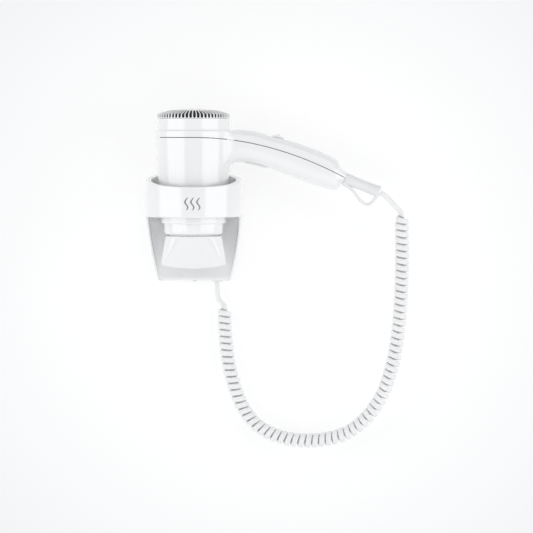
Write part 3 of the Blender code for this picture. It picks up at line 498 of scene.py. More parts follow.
CORD_WIDTH = 5.8
CORD_THICKNESS = 3.4
FLAT_POWER = 0.6  # how square the cord's and the strap's sections are
COIL_PITCH = 7.45
CORD_ROUTE = [
    (202.2, -56.0, 38.1), (206.8, -56.0, 35.4), (212.4, -55.8, 30.0), (218.4, -55.4, 23.4),
    (223.4, -54.8, 18.4), (225.2, -54.2, 13.2), (226.2, -52.0, -23.8), (225.8, -49.5, -62.4),
    (223.4, -46.5, -104.7), (217.6, -43.0, -145.1), (205.4, -39.0, -183.5), (185.0, -35.0, -212.4),
    (158.8, -31.0, -229.2), (126.2, -27.5, -234.8), (96.2, -24.5, -231.6), (69.3, -22.0, -219.0),
    (50.9, -20.0, -194.5), (38.6, -18.5, -156.3), (33.9, -17.0, -121.0), (32.6, -16.0, -91.0),
    (32.0, -15.4, -87.4), (29.6, -13.0, -84.4), (26.6, -10.4, -81.0), (25.1, -9.0, -76.5),
    (24.7, -8.5, -70.0), (24.7, -8.5, -60.9),
]
STRAIGHT_START = 33.0  # of the route, before the turns begin
STRAIGHT_END = 31.0
COIL_SWELL = 8.5  # of the route, over which the turns open out to full size


def cord_path():
    """The cord's centreline, and the direction its flat side faces at each point."""
    step, coil_spacing, lead_spacing = 0.45, 0.44, 2.4
    spine = smooth_route(CORD_ROUTE, step)
    length = (len(spine) - 1) * step
    inside = length - STRAIGHT_START - STRAIGHT_END
    turns = round(inside / COIL_PITCH)
    radius = COIL_RADIUS - CORD_THICKNESS / 2
    side = Vector((0.0, -1.0, 0.0))
    points, outward, last_used = [], [], -lead_spacing
    for i, point in enumerate(spine):
        along = heading(spine, i)
        side = (side - along * side.dot(along)).normalized()
        travelled = i * step
        wound = min(1.0, max(0.0, (travelled - STRAIGHT_START) / inside))
        swell = smoothstep((travelled - STRAIGHT_START) / COIL_SWELL)
        swell *= smoothstep((length - STRAIGHT_END - travelled) / COIL_SWELL)
        angle = -2.0 * math.pi * turns * wound
        across = along.cross(side)
        out = side * math.cos(angle) + across * math.sin(angle)
        spacing = coil_spacing if swell > 0.0 else lead_spacing
        if travelled - last_used < spacing and i != len(spine) - 1:
            continue
        last_used = travelled
        points.append(point + out * radius * swell)
        outward.append(out if swell > 0.0 else (outward[-1] if outward else out))
    return points, outward


def cord(finish):
    """The cord as a flat oval tube that follows its centreline."""
    points, outward = cord_path()
    section = flat_oval(CORD_WIDTH / 2, CORD_THICKNESS / 2, 16)
    shape = bmesh.new()
    rings = []
    for i, point in enumerate(points):
        along = heading(points, i)
        out = (outward[i] - along * outward[i].dot(along)).normalized()
        across = along.cross(out)
        rings.append([shape.verts.new(point + across * width + out * height) for width, height in section])
    for lower, upper in zip(rings, rings[1:]):
        join(shape, lower, upper)
    shape.faces.new(rings[0])
    shape.faces.new(rings[-1])
    made = place("cord", shape, finish, sharp_deg=60.0)
    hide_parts("cord_coil", "cord_lead_dryer", "cord_lead_holder")
    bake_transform(made)
    return made


# Holder


def holder_half_width(z):
    """Half the holder's width: full at the collar, drawn in towards the bottom."""
    below = max(0.0, COLLAR_BOTTOM_Z - z)
    return HOLDER_HALF_WIDTH - HOLDER_TAPER * below**1.5


def collar_rim_z(y):
    """Height of the collar's tilted top edge."""
    return COLLAR_AXIS_TOP_Z + (y - AXIS_Y) * math.tan(math.radians(COLLAR_TILT_DEG))


def collar_ring(finish):
    """The holder's collar: a thick ring with a tilted, rounded rim and a flange inside its foot."""
    shape = bmesh.new()
    rings = []
    for across, out in around(160):
        top = collar_rim_z(AXIS_Y + out * HOLDER_HALF_WIDTH)
        section = [
            (HOLDER_HALF_WIDTH, COLLAR_BOTTOM_Z), (HOLDER_HALF_WIDTH, top),
            (COLLAR_INNER_RADIUS, top - 0.4), (COLLAR_INNER_RADIUS, FLANGE_TOP_Z),
            (FLANGE_RADIUS, FLANGE_TOP_Z), (FLANGE_RADIUS, COLLAR_BOTTOM_Z),
        ]
        section = rounded(section, 1.3, 5)
        rings.append([shape.verts.new((r * across, AXIS_Y + r * out, z)) for r, z in section])
    for ring, following in zip(rings, rings[1:] + rings[:1]):
        join(shape, ring, following)
    return show(place("collar_ring", shape, finish), "holder", "gloss_white", "holder_shell")


def front_y(z):
    """How far the scoop's side walls stand out from the wall at a height."""
    neck_z = 5.4
    if z > neck_z:
        return AXIS_Y + 4.0 * (COLLAR_BOTTOM_Z - z) / (COLLAR_BOTTOM_Z - neck_z)
    curve_z, curve_height, curve_depth = -52.0, 58.0, 28.5
    sine = min(1.0, max(-1.0, (z - curve_z) / curve_height))
    return AXIS_Y + curve_depth * math.sqrt(max(0.0, 1.0 - sine * sine))


def back_y(z):
    """Depth of the scoop's back: level behind the outlet, swept forward at its foot."""
    bend_z, run = -30.0, 26.2
    share = min(1.0, max(0.0, (bend_z - z) / run))
    return BACK_PANEL_Y + (front_y(z) + 0.8 - BACK_PANEL_Y) * share**2.0


def scoop_level(z, inset, solid):
    """One closed loop of the scoop: out along a side, round its rim, across the back and home."""
    half = holder_half_width(z) - inset
    front = front_y(z) + inset
    wall = HOLDER_WALL / 2
    side = [(half, 0.0), (half, front * 0.35), (half, front * 0.7)]
    rim = arc((half - wall, front + wall), wall, 0.0, -180.0, 8)
    inner_half = half - HOLDER_WALL
    start = front + wall
    depth = max(0.02, back_y(z) + inset - start)
    back = []
    for i in range(1, 40):
        share = -math.cos(math.pi * i / 40)
        y = start + depth * (1.0 - abs(share) ** BACK_POWER) ** (1 / BACK_POWER)
        back.append((-inner_half * share, y))
    other = [(-x, y) for x, y in reversed(side + rim)]
    hollow = inner_half - HOLDER_WALL
    depth_behind = -0.02 if solid else WIRING_DEPTH_Y
    behind = [(-hollow, 0.0), (-hollow, depth_behind), (hollow, depth_behind), (hollow, 0.0)]
    return [(x, y, z) for x, y in side + rim + back + other + behind]


def scoop(finish):
    """The lower half of the holder: side walls, a hollow for the nozzle and a rounded foot."""
    top, step = COLLAR_BOTTOM_Z - 0.05, 1.9
    levels = [scoop_level(top - step * i, 0.0, False) for i in range(37)]
    low = HOLDER_BOTTOM_Z + FOOT_RADIUS
    levels.append(scoop_level(low, 0.0, True))
    for i in range(1, 7):
        angle = math.radians(15.0 * i)
        inset = FOOT_RADIUS * (1.0 - math.cos(angle))
        levels.append(scoop_level(low - FOOT_RADIUS * math.sin(angle), inset, True))
    return show(loft("scoop", levels, finish, sharp_deg=50.0), "holder", "gloss_white", "holder_shell")


def side_webs(finish):
    """The collar's feet: blocks that carry it on the wall plate, sloping down to the wall."""
    for side, label in ((1, "right"), (-1, "left")):
        levels = []
        for i in range(29):
            y = AXIS_Y * i / 28.0
            reach = FOOT_INNER_RADIUS**2 - (y - AXIS_Y) ** 2
            inner = math.sqrt(reach) if reach > 0.0 else 0.0
            share = (y - AXIS_Y) / (6.0 - AXIS_Y)
            top = WEB_TOP_Z - WEB_DROP * share**1.5
            outline = [(inner, WEB_BOTTOM_Z), (HOLDER_HALF_WIDTH, WEB_BOTTOM_Z)]
            outline += [(HOLDER_HALF_WIDTH, top), (inner, top)]
            levels.append([(side * x, y, z) for x, z in rounded(outline, 1.5, 4)])
        web = loft(f"collar_foot_{label}", levels, finish)
        recess = slab("plate_recess", plate_outline(PLATE_GAP), -PLATE_THICKNESS - PLATE_GAP, 5.0, None)
        combine(web, recess, "DIFFERENCE")
        show(web, "holder", "gloss_white", "holder_shell")


def plate_outline(grow=0.0):
    """The back plate's outline in the wall plane."""
    low, high = PLATE_BOTTOM_Z - grow, PLATE_TOP_Z + grow
    right = []
    for i in range(24):
        z = low + (high - low) * i / 23
        right.append((holder_half_width(z) - HOLDER_WALL - 0.6 + grow, z))
    return right + [(-x, z) for x, z in reversed(right)]


def back_plate(finish):
    """Plate on the wall, with its screw holes and cable entry."""
    plate = slab("wall_plate", plate_outline(), -PLATE_THICKNESS, 0.0, finish)
    flat = (math.radians(90.0), 0.0, 0.0)
    for x, z, radius in ((-34.0, 15.0, 2.6), (34.0, 15.0, 2.6), (-26.0, -40.0, 2.6), (-30.0, -14.0, 6.0)):
        hole = [(0.0, -9.0), (radius, -9.0), (radius, 9.0), (0.0, 9.0)]
        combine(plate, turned("hole", hole, None, (x, 0.0, z), flat, 40), "DIFFERENCE")
    soften(plate, 0.4)
    return show(plate, "holder", "satin_white", "holder_back_plate")


def rest_ring(finish):
    """Soft ring on the collar's flange, under the barrel."""
    outline = rounded([(36.1, 14.9), (44.0, 14.9), (43.6, 16.6), (36.5, 16.6)], 0.6)
    return show(turned("soft_rest_ring", outline, finish), "holder", "soft_pad", "rest_ring")


def gland(finish):
    """Flanged sleeve in the holder's underside, round the cord."""
    low = HOLDER_BOTTOM_Z
    outline = [(2.9, low - 2.2), (5.0, low - 2.2), (6.2, low - 0.9), (6.2, low - 0.3)]
    outline += [(4.3, low - 0.3), (4.3, low + 2.6), (2.9, low + 2.6)]
    sleeve = turned("cord_sleeve", rounded(outline, 0.5, 3), finish, (EXIT_X, EXIT_Y, 0.0), segments=56)
    return show(sleeve, "holder", "satin_white", "cord_gland")


def foot_screw(finish):
    """Domed screw under the holder, with a cross in its head."""
    low = HOLDER_BOTTOM_Z
    outline = [(0.0, low - 1.8), (1.6, low - 1.6), (2.6, low - 1.1), (3.1, low - 0.3), (1.4, low - 0.3)]
    outline += [(1.4, low + 6.0), (0.0, low + 6.0)]
    screw = turned("foot_screw", outline, finish, (0.0, -9.0, 0.0), segments=40)
    for turn_deg in (0.0, 90.0):
        turn = (0.0, 0.0, math.radians(turn_deg))
        combine(screw, block("slot", (3.6, 0.8, 1.8), None, (0.0, -9.0, low - 1.7), turn), "DIFFERENCE")
    return show(screw, "holder", "steel", "shell_screw")


def warm_air_mark(finish):
    """A small generic mark on the collar: three wavy lines of rising air in a printed grey."""
    shape = bmesh.new()
    radius = HOLDER_HALF_WIDTH + 0.06
    low_z, tall, apart, amplitude, waves, half_stroke = 20.6, 13.4, 6.4, 1.55, 1.15, 0.85
    for number in (-1, 0, 1):
        rows = []
        for i in range(41):
            share = i / 40
            swing = amplitude * math.sin(2.0 * math.pi * waves * share)
            width = half_stroke * math.sin(math.pi * min(1.0, max(0.0, 0.06 + 0.88 * share))) ** 0.35
            row = []
            for offset in (-width, 0.0, width):
                angle = (apart * number + swing + offset) / radius
                x, y = radius * math.sin(angle), AXIS_Y - radius * math.cos(angle)
                row.append(shape.verts.new((x, y, low_z + tall * share)))
            rows.append(row)
        for lower, upper in zip(rows, rows[1:]):
            for k in range(2):
                shape.faces.new((lower[k], lower[k + 1], upper[k + 1], upper[k]))
    mark = place("warm_air_mark", shape, finish)
    thicken = mark.modifiers.new("Thicken", "SOLIDIFY")
    thicken.thickness = 0.12 * MM
    thicken.offset = 0.0
    bake(mark)
    return show(mark, "holder", "dark")


# Dryer housing

# The handle's stations from the barrel out: top point, bottom point, half width.
HANDLE_STATIONS = [
    ((47.5, 107.4), (47.0, 71.0), 17.6), ((58.0, 106.4), (56.0, 71.6), 16.8),
    ((70.0, 104.6), (66.0, 69.8), 16.6), ((80.5, 101.0), (76.0, 67.2), 16.6),
    ((94.0, 97.9), (88.0, 62.8), 17.0), ((119.5, 90.6), (110.0, 53.8), 17.0),
    ((140.0, 82.4), (128.6, 46.6), 16.6), ((152.0, 76.4), (144.0, 42.6), 15.4),
    ((157.0, 72.6), (152.4, 40.5), 14.2), ((158.4, 69.6), (154.6, 40.6), 13.2),
    ((159.8, 66.0), (156.6, 42.8), 11.4), ((163.0, 62.6), (158.8, 45.4), 9.6),
    ((166.4, 60.2), (160.4, 47.4), 8.4),
]
CREASE_DEG = 43.0
# How sharp the lines along the handle are, by their angle round its section.
CREASES = {137: 0.6, 142: 0.6, 43: 0.6, 38: 0.6, -40: 0.8, -140: 0.8}
SECTION_ANGLES = [137, 115, 90, 65, 43, 38, 30, 12, -14, -40, -65, -90, -115, -140, -166, 168, 150, 142]
CAGE_COLUMNS = 24
CAGE_SHRINK = 0.98864  # how far subdivision draws a ring of that many points in
SECTION_SHRINK = 0.972  # and a handle section
HANDLE_POWER = 0.84  # how square the handle's section is


def seam_z(x):
    """Height of the parting line between the two housing halves."""
    if x < 0.0:
        return SEAM_Z
    return SEAM_Z - SEAM_FALL * x * x + 0.1 * math.sin(x / 40.0)


def seam_region(upper):
    """The space above or below the parting line, as a tool for the housing."""
    shift = SEAM_GAP / 2 if upper else -SEAM_GAP / 2
    line = [(-60.0, SEAM_Z + shift)]
    line += [(4.0 * i, seam_z(4.0 * i) + shift) for i in range(46)]
    far_z = 140.0 if upper else -20.0
    region = slab("region", line + [(180.0, far_z), (-60.0, far_z)], -110.0, 10.0, None)
    # The tool's faces pass on the housing's second finish, dark, as painted shade on the parting line's cut
    # faces.
    for face in region.data.polygons:
        face.material_index = 1
    return region


def handle_section(top, bottom, half_width):
    """Cage points round the handle between a top and a bottom point; its top strip is set in a little."""
    centre_x, centre_z = (top[0] + bottom[0]) / 2, (top[1] + bottom[1]) / 2
    up_x, up_z = (top[0] - bottom[0]) / 2, (top[1] - bottom[1]) / 2
    points = []
    for angle in SECTION_ANGLES:
        across, up = math.cos(math.radians(angle)), math.sin(math.radians(angle))
        across = squared(across, HANDLE_POWER) / SECTION_SHRINK
        up = squared(up, HANDLE_POWER) / SECTION_SHRINK
        if CREASE_DEG - 0.5 < angle < 180.5 - CREASE_DEG:
            across *= 1.0 - 0.75 / half_width
            up *= 1.0 - 0.35 / half_width
        points.append((centre_x + up_x * up, AXIS_Y + half_width * across, centre_z + up_z * up))
    return points


def cage_column(j):
    """A column's number counted both ways from the handle's side of the barrel."""
    return j if j < CAGE_COLUMNS / 2 else j - CAGE_COLUMNS


def housing_skin(name, finish, painted_seam_shade):
    """Barrel and handle as one thick skin, grown from a cage of quads, with a step in below the intake."""
    shape = bmesh.new()
    crease = shape.edges.layers.float.new("crease_edge")
    profile = [
        (BARREL_BOTTOM_Z, 37.3), (45.0, 38.0), (70.0, 39.0), (82.0, 39.8), (94.0, 40.6),
        (102.4, 40.6), (104.9, 40.45), (105.8, 39.65), (108.4, 39.3), (BARREL_TOP_Z, 39.3),
    ]
    low_row, top_row = 2, 7
    columns = (-2, -1, 0, 1, 2)
    rings = []
    for row, (z, radius) in enumerate(profile):
        ring = []
        for j in range(CAGE_COLUMNS):
            column = cage_column(j)
            inside = low_row < row < top_row and abs(column) < 2
            angle = math.radians(360.0 / CAGE_COLUMNS * column)
            x = radius / CAGE_SHRINK * math.cos(angle)
            y = AXIS_Y + radius / CAGE_SHRINK * math.sin(angle)
            ring.append(None if inside else shape.verts.new((x, y, z)))
        rings.append(ring)
    for row in range(len(profile) - 1):
        for j in range(CAGE_COLUMNS):
            if low_row <= row < top_row and -2 <= cage_column(j) < 2:
                continue
            beside = (j + 1) % CAGE_COLUMNS
            shape.faces.new((rings[row][j], rings[row][beside], rings[row + 1][beside], rings[row + 1][j]))
    loop = [rings[top_row][j] for j in columns]
    loop += [rings[row][2] for row in range(top_row - 1, low_row, -1)]
    loop += [rings[low_row][j] for j in reversed(columns)]
    loop += [rings[row][-2] for row in range(low_row + 1, top_row)]
    for top, bottom, half_width in HANDLE_STATIONS:
        following = [shape.verts.new(point) for point in handle_section(top, bottom, half_width)]
        join(shape, loop, following)
        for i, angle in enumerate(SECTION_ANGLES):
            edge = shape.edges.get((loop[i], following[i]))
            edge[crease] = CREASES.get(angle, 0.0)
        loop = following
    for row in (top_row - 1, top_row):
        for j in range(CAGE_COLUMNS):
            ends = (rings[row][j], rings[row][(j + 1) % CAGE_COLUMNS])
            edge = shape.edges.get(ends) if all(ends) else None
            if edge:
                edge[crease] = 0.5
    skin = place(name, shape, finish)
    # The second finish is dark, painted shade: the skin's inside takes it, and so do the parting line's faces
    # cut by the seam tool.
    skin.data.materials.append(painted_seam_shade)
    subdivide = skin.modifiers.new("Subdivide", "SUBSURF")
    subdivide.levels = 3
    subdivide.render_levels = 3
    thicken = skin.modifiers.new("Thicken", "SOLIDIFY")
    thicken.thickness = HOUSING_WALL * MM
    thicken.offset = -1.0
    thicken.use_even_offset = True
    thicken.use_quality_normals = True
    thicken.material_offset = 1
    thicken.material_offset_rim = 0
    bake(skin)
    return skin


def housing_half(name, upper, finish, painted_seam_shade):
    shell = housing_skin(name, finish, painted_seam_shade)
    combine(shell, seam_region(upper), "INTERSECT")
    return shell


def on_handle(x, z, tilt_deg, height):
    """A point a given height along the normal of a tilted spot on the handle."""
    lean = math.radians(tilt_deg)
    return (x + height * math.sin(lean), AXIS_Y, z + height * math.cos(lean))


def on_slider(height):
    return on_handle(SLIDER_X, SLIDER_TOP_Z, SLIDER_TILT_DEG, height)


def on_button(height):
    return on_handle(BUTTON_X, BUTTON_SURFACE_Z, BUTTON_TILT_DEG, height)


def rounded_box(name, length, width, height, radius, at, turn):
    """A tool with rounded corners in plan, for recesses and openings."""
    x, y = length / 2, width / 2
    outline = rounded([(-x, -y), (x, -y), (x, y), (-x, y)], radius, 6)
    levels = [[(x, y, z) for x, y in outline] for z in (-height / 2, height / 2)]
    return loft(name, levels, None, at, turn)


SCREW_SPOTS = [(104.0, 57.0, 24.0), (128.0, 48.0, 21.0)]  # x and z on the underside, and its tilt there


def upper_half(finish, painted_seam_shade):
    """Housing above the parting line, with the slide switch's recess."""
    shell = housing_half("upper_half", True, finish, painted_seam_shade)
    lean = tilt(SLIDER_TILT_DEG)
    combine(shell, rounded_box("recess", 27.0, 13.0, 7.6, 3.0, on_slider(2.8), lean), "DIFFERENCE")
    combine(shell, rounded_box("slot", 18.0, 5.4, 12.0, 1.2, on_slider(0.0), lean), "DIFFERENCE")
    shade(shell.data, 42.0)
    return show(shell, "dryer", "gloss_white", "upper_housing")


def lower_half(finish, painted_seam_shade):
    """Housing below the parting line, with the push bar's opening and the screw wells."""
    shell = housing_half("lower_half", False, finish, painted_seam_shade)
    size = (BUTTON_LENGTH + BUTTON_PLAY, BUTTON_WIDTH + BUTTON_PLAY, 14.0)
    opening = rounded_box("opening", *size, 3.2, on_button(0.0), tilt(BUTTON_TILT_DEG))
    combine(shell, opening, "DIFFERENCE")
    for x, z, lean_deg in SCREW_SPOTS:
        well = [(0.0, -14.0), (3.2, -14.0), (3.2, 5.0), (0.0, 5.0)]
        tool = turned("well", well, None, on_handle(x, z, lean_deg, 0.0), tilt(lean_deg), 40)
        combine(shell, tool, "DIFFERENCE")
    shade(shell.data, 42.0)
    return show(shell, "dryer", "gloss_white", "lower_housing")


def screw_wells(finish, steel):
    """The lined wells under the handle, and the screws at their ends."""
    for number, (x, z, lean_deg) in enumerate(SCREW_SPOTS, 1):
        at = on_handle(x, z, lean_deg, 0.0)
        lining = rounded([(3.2, 1.6), (4.6, 1.6), (4.6, 7.0), (1.9, 7.0), (1.9, 5.2), (3.2, 5.2)], 0.2, 2)
        show(turned(f"screw_well_{number}", lining, finish, at, tilt(lean_deg), 48), "dryer", "gloss_white")
        outline = [(0.0, 2.4), (1.6, 2.5), (2.7, 3.3), (2.8, 4.7), (1.15, 4.7), (1.15, 29.0), (0.0, 29.0)]
        screw = turned(f"handle_screw_{number}", outline, steel, at, tilt(lean_deg), 40)
        slot_at = on_handle(x, z, lean_deg, 2.6)
        combine(screw, block("slot", (3.8, 0.7, 1.6), None, slot_at, tilt(lean_deg)), "DIFFERENCE")
        combine(screw, block("slot", (0.7, 3.8, 1.6), None, slot_at, tilt(lean_deg)), "DIFFERENCE")
        show(screw, "dryer", "steel", f"housing_screw_{number}")


# Air path


def dome_z(radius):
    """Height of the end cap's shallow dome at a distance from its axis."""
    return DOME_TOP_Z - DOME_RISE * (radius / DOME_RADIUS) ** 2


def dome_line(radii, below=0.0):
    """Points on the dome, or a distance below it."""
    return [(radius, dome_z(radius) - below) for radius in radii]


def slot_tool(shape, spin):
    """One intake slot: rounded at its foot on the cap's side, tapered in towards the dome's middle."""
    rows = []
    for radius, width in ((23.5, 1.35), (44.0, 3.5)):
        half = width / 2
        outline = [(half, 140.0)] + arc((0.0, 119.0 + half), half, 0.0, -180.0, 8) + [(-half, 140.0)]
        rows.append([shape.verts.new(spin @ Vector((radius, y, z))) for y, z in outline])
    join(shape, *rows)
    for row in rows:
        shape.faces.new(row)


def intake_cap(finish):
    """Domed end cap with sixty slots that run over its edge."""
    inside, skin, low = DOME_RADIUS - 1.1, 1.0, BARREL_TOP_Z + 0.25
    outline = [(inside, low), (DOME_RADIUS - 0.3, low), (DOME_RADIUS, low + 0.3)]
    outline += arc((DOME_RADIUS - 1.0, DOME_SHOULDER_Z - 0.2), 1.0, 0.0, 72.0, 4)
    outline += dome_line((36.0, 32.0, 28.0, 23.0, 18.0, 13.0, 8.0, 4.0, 0.0))
    outline += dome_line((0.0, 8.0, 16.0, 24.0, 32.0, inside), skin)
    cap = turned("intake_cap", outline, finish, segments=240)
    shape = bmesh.new()
    for i in range(INTAKE_SLOTS):
        slot_tool(shape, Matrix.Rotation(2.0 * math.pi * (i + 0.5) / INTAKE_SLOTS, 4, "Z"))
    combine(cap, place("slots", shape, None, (0.0, AXIS_Y, 0.0)), "DIFFERENCE")
    shade(cap.data, 35.0)
    return show(cap, "dryer", "satin_white", "intake_grille")


def intake_screen(finish):
    """Black lint screen close under the slotted cap."""
    outline = [(36.6, 112.0), (36.6, 120.8), (35.9, 121.8)]
    outline += dome_line((32.0, 24.0, 16.0, 8.0, 0.0), 2.0) + dome_line((0.0, 8.0, 16.0, 24.0, 32.0), 2.5)
    outline += [(35.4, 121.4), (36.1, 120.6), (36.1, 112.0)]
    return show(turned("intake_screen", outline, finish, segments=96), "dryer", "dark", "intake_mesh")


def outlet_rings(finish):
    """The stepped ring under the barrel and the smaller ring that carries the nozzle."""
    top = BARREL_BOTTOM_Z - 0.6
    outline = [(32.9, RING_BOTTOM_Z), (RING_RADIUS, RING_BOTTOM_Z), (RING_RADIUS, top), (34.5, top)]
    outline += [(34.5, 24.0), (32.9, 24.0)]
    show(turned("stepped_ring", rounded(outline, 0.9, 4), finish), "dryer", "gloss_white", "front_ring")
    outline = [(30.0, SOCKET_BOTTOM_Z), (31.9, SOCKET_BOTTOM_Z), (SOCKET_RADIUS, 5.6)]
    outline += [(32.4, 12.0), (30.0, 12.0)]
    show(turned("nozzle_ring", rounded(outline, 0.9, 4), finish), "dryer", "gloss_white", "nozzle_socket")


def mouth_level(share, inset, z_shift):
    """One loop of the nozzle between its round top and its flat, bowed mouth."""
    corner = 4.6
    radius = (1.0 - share) * NOZZLE_TOP_RADIUS + share * corner
    flat_x = share * (NOZZLE_HALF_WIDTH - corner)
    flat_y = share * (NOZZLE_HALF_DEPTH - corner)
    reach = NOZZLE_TOP_RADIUS + (NOZZLE_HALF_WIDTH - NOZZLE_TOP_RADIUS) * share
    z = NOZZLE_TOP_Z + (NOZZLE_BOTTOM_Z - NOZZLE_TOP_Z) * share + z_shift
    points = []
    for quarter, (sign_x, sign_y) in enumerate(((1, 1), (-1, 1), (-1, -1), (1, -1))):
        for i in range(13):
            angle = math.radians(90.0 * quarter + 7.5 * i)
            x = sign_x * flat_x + (radius - inset) * math.cos(angle)
            y = sign_y * flat_y + (radius - inset) * math.sin(angle)
            points.append((x, y, z - NOZZLE_BOW * share * (1.0 - (x / reach) ** 2)))
        if quarter in (0, 2):
            last_x, last_y, _ = points[-1]
            for i in range(1, 8):
                x = last_x - 2.0 * sign_x * flat_x * i / 8.0
                points.append((x, last_y, z - NOZZLE_BOW * share * (1.0 - (x / reach) ** 2)))
    return points


def concentrator(finish):
    """Air concentrator: a snap collar, then a hollow flare from a circle to a flat, bowed mouth."""
    wall = 1.6
    shares = [i / 16 for i in range(17)]
    neck = [(0.0, 1.6, 6.6), (0.0, 2.9, 1.6), (0.0, 2.9, 0.0)]
    edge = [(0.0, 0.6, 0.0), (0.0, 0.15, -0.25), (0.0, 0.0, -0.8)]
    outside = [(share, 0.0, 0.0) for share in shares[1:]]
    lip = [(1.0, 0.5, -0.35), (1.0, wall - 0.4, -0.35)]
    inside = [(share, wall, 0.0) for share in reversed(shares)]
    throat = [(0.0, 2.9 + wall, 2.0), (0.0, 1.6 + wall, 6.6)]
    levels = [mouth_level(*level) for level in neck + edge + outside + lip + inside + throat]
    made = loft("concentrator", levels, finish, (0.0, AXIS_Y, 0.0), closed=True)
    return show(made, "nozzle", "gloss_white", "concentrator_nozzle")


def outlet_guard(finish):
    """Slotted guard inside the outlet."""
    outline = rounded([(0.001, 1.0), (29.6, 1.0), (29.6, 4.0), (0.001, 4.0)], 0.3, 2)
    disc = turned("outlet_guard", outline, finish, segments=96)
    shape = bmesh.new()
    for i in range(9):
        x = 6.0 * (i - 4)
        length = 2.0 * math.sqrt(27.0**2 - x * x)
        centre = Matrix.Translation((x, 0.0, 2.5))
        bmesh.ops.create_cube(shape, size=1.0, matrix=centre @ Matrix.Diagonal((4.0, length, 9.0, 1.0)))
    combine(disc, place("slots", shape, None, (0.0, AXIS_Y, 0.0)), "DIFFERENCE")
    return show(disc, "dryer", "dark", "outlet_grille")


# Controls and the cord's strain relief


def thumb_slider(finish):
    """Slide switch: a ribbed ridge on a low plate."""
    lean = tilt(SLIDER_TILT_DEG)
    half = [(6.4, -0.9), (6.4, 0.7), (5.2, 1.0), (4.6, 0.9), (4.0, 1.3), (3.4, 1.2), (2.8, 1.9)]
    half += [(2.2, 1.9), (1.6, 2.9), (1.0, 3.6)]
    other = [(-x, z) for x, z in reversed(half)]
    ridge = other[-1:] + half + [(0.0, 3.9)] + other[:-1]
    slider = slab("thumb_slider", ridge, -4.4, 4.4, finish, on_slider(0.0), lean)
    soften(slider, 0.35, 35.0)
    combine(slider, block("stem", (7.0, 4.2, 6.0), None, on_slider(-3.4), lean), "UNION")
    return show(slider, "selector", "satin_white", "selector_slider")


def push_bar(finish, dark):
    """Long push bar under the handle, with soft edges and a dark plate at its root: painted shadow in the gap
    round the bar.
    """
    lean = tilt(BUTTON_TILT_DEG)
    inset = 1.2
    depth = 2 * (inset + BUTTON_PROUD)
    bar = rounded_box("push_bar", BUTTON_LENGTH, BUTTON_WIDTH, depth, 3.0, on_button(inset), lean)
    bar.data.materials.append(finish)
    soften(bar, 1.1, 40.0, 4)
    show(bar, "button", "satin_white", "safety_button")
    # A dark plate behind the opening, painted shadow in the gap round the bar.
    size = (BUTTON_LENGTH + 4.0, BUTTON_WIDTH + 4.0, 1.4)
    flange = rounded_box("push_bar_painted_shadow", *size, 3.0, on_button(5.4), lean)
    flange.data.materials.append(dark)
    soften(flange, 0.3)
    return show(flange, "button", "dark")


def strain_relief(finish):
    """Arm with a trumpet end over the cord, and a thin strap below it that makes the hanging loop."""
    lean = tilt(90.0 + GUARD_LEAN_DEG)
    arm_at = (GUARD_START[0], AXIS_Y, GUARD_START[1])
    outline = [(2.9, -6.0), (5.6, -6.0), (6.3, 1.0), (6.1, 8.0), (5.75, 16.0), (5.75, 25.0)]
    outline += [(6.1, 32.0), (6.6, 36.6), (6.6, 37.8), (6.0, 38.3), (4.0, 38.3), (2.9, 36.6)]
    show(turned("relief_arm", outline, finish, arm_at, lean, 72), "dryer", "satin_white", "cord_guard")
    root = [(0.0, -12.0), (6.4, -12.0), (6.4, -9.4), (4.4, -9.4), (4.4, -3.0), (0.0, -3.0)]
    show(turned("relief_root", rounded(root, 0.4, 2), finish, arm_at, lean, 48), "dryer", "satin_white")
    route = [(161.5, 49.4), (166.0, 45.6), (170.6, 42.0), (175.6, 36.2), (180.2, 30.2), (184.4, 26.6)]
    route += [(188.4, 25.1), (191.8, 26.4), (195.2, 30.0), (198.2, 34.2), (200.2, 38.0)]
    points = smooth_route([(x, AXIS_Y, z) for x, z in route], 0.8)
    levels = []
    for i, point in enumerate(points):
        along = heading(points, i)
        up = Vector((-along.z, 0.0, along.x))
        share = i / (len(points) - 1)
        half_thick = 1.65 + 1.0 * smoothstep((0.16 - share) / 0.16) + 0.9 * smoothstep((share - 0.84) / 0.16)
        half_wide = 3.9 + 1.4 * smoothstep((0.12 - share) / 0.12) + 1.2 * smoothstep((share - 0.86) / 0.14)
        section = flat_oval(half_wide, half_thick, 20)
        levels.append([point + Vector((0.0, wide, 0.0)) + up * thick for wide, thick in section])
    return show(loft("relief_loop", levels, finish), "dryer", "satin_white", "cord_guard")


def seam_ribs(finish):
    """Locating ribs inside the handle, which close the parting line to a look straight through it; they are
    dark, painted shade seen through the parting line.
    """
    line = [(4.0 * i, seam_z(4.0 * i)) for i in range(11, 39)]
    outline = [(x, z + RIB_HALF_HEIGHT) for x, z in line]
    outline += [(x, z - RIB_HALF_HEIGHT) for x, z in reversed(line)]
    for side, label in ((-1, "near"), (1, "far")):
        inner, outer = sorted((AXIS_Y + side * RIB_INNER, AXIS_Y + side * RIB_OUTER))
        show(slab(f"seam_rib_{label}", outline, inner, outer, finish), "dryer", "dark")


def push_bar_spring(finish):
    """The spring over the push bar: a copy of its CAD part, fixed to the dryer, so its far end stays put."""
    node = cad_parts["button_spring"]
    spring = bpy.data.objects.new("push_bar_spring", node.data.copy())
    bpy.context.scene.collection.objects.link(spring)
    spring.matrix_world = node.matrix_world
    spring.data.materials.clear()
    spring.data.materials.append(finish)
    show(spring, "dryer", "steel", "button_spring")
    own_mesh(spring)


# CAD parts inside the dryer and the holder keep their shape and get finished surfaces.

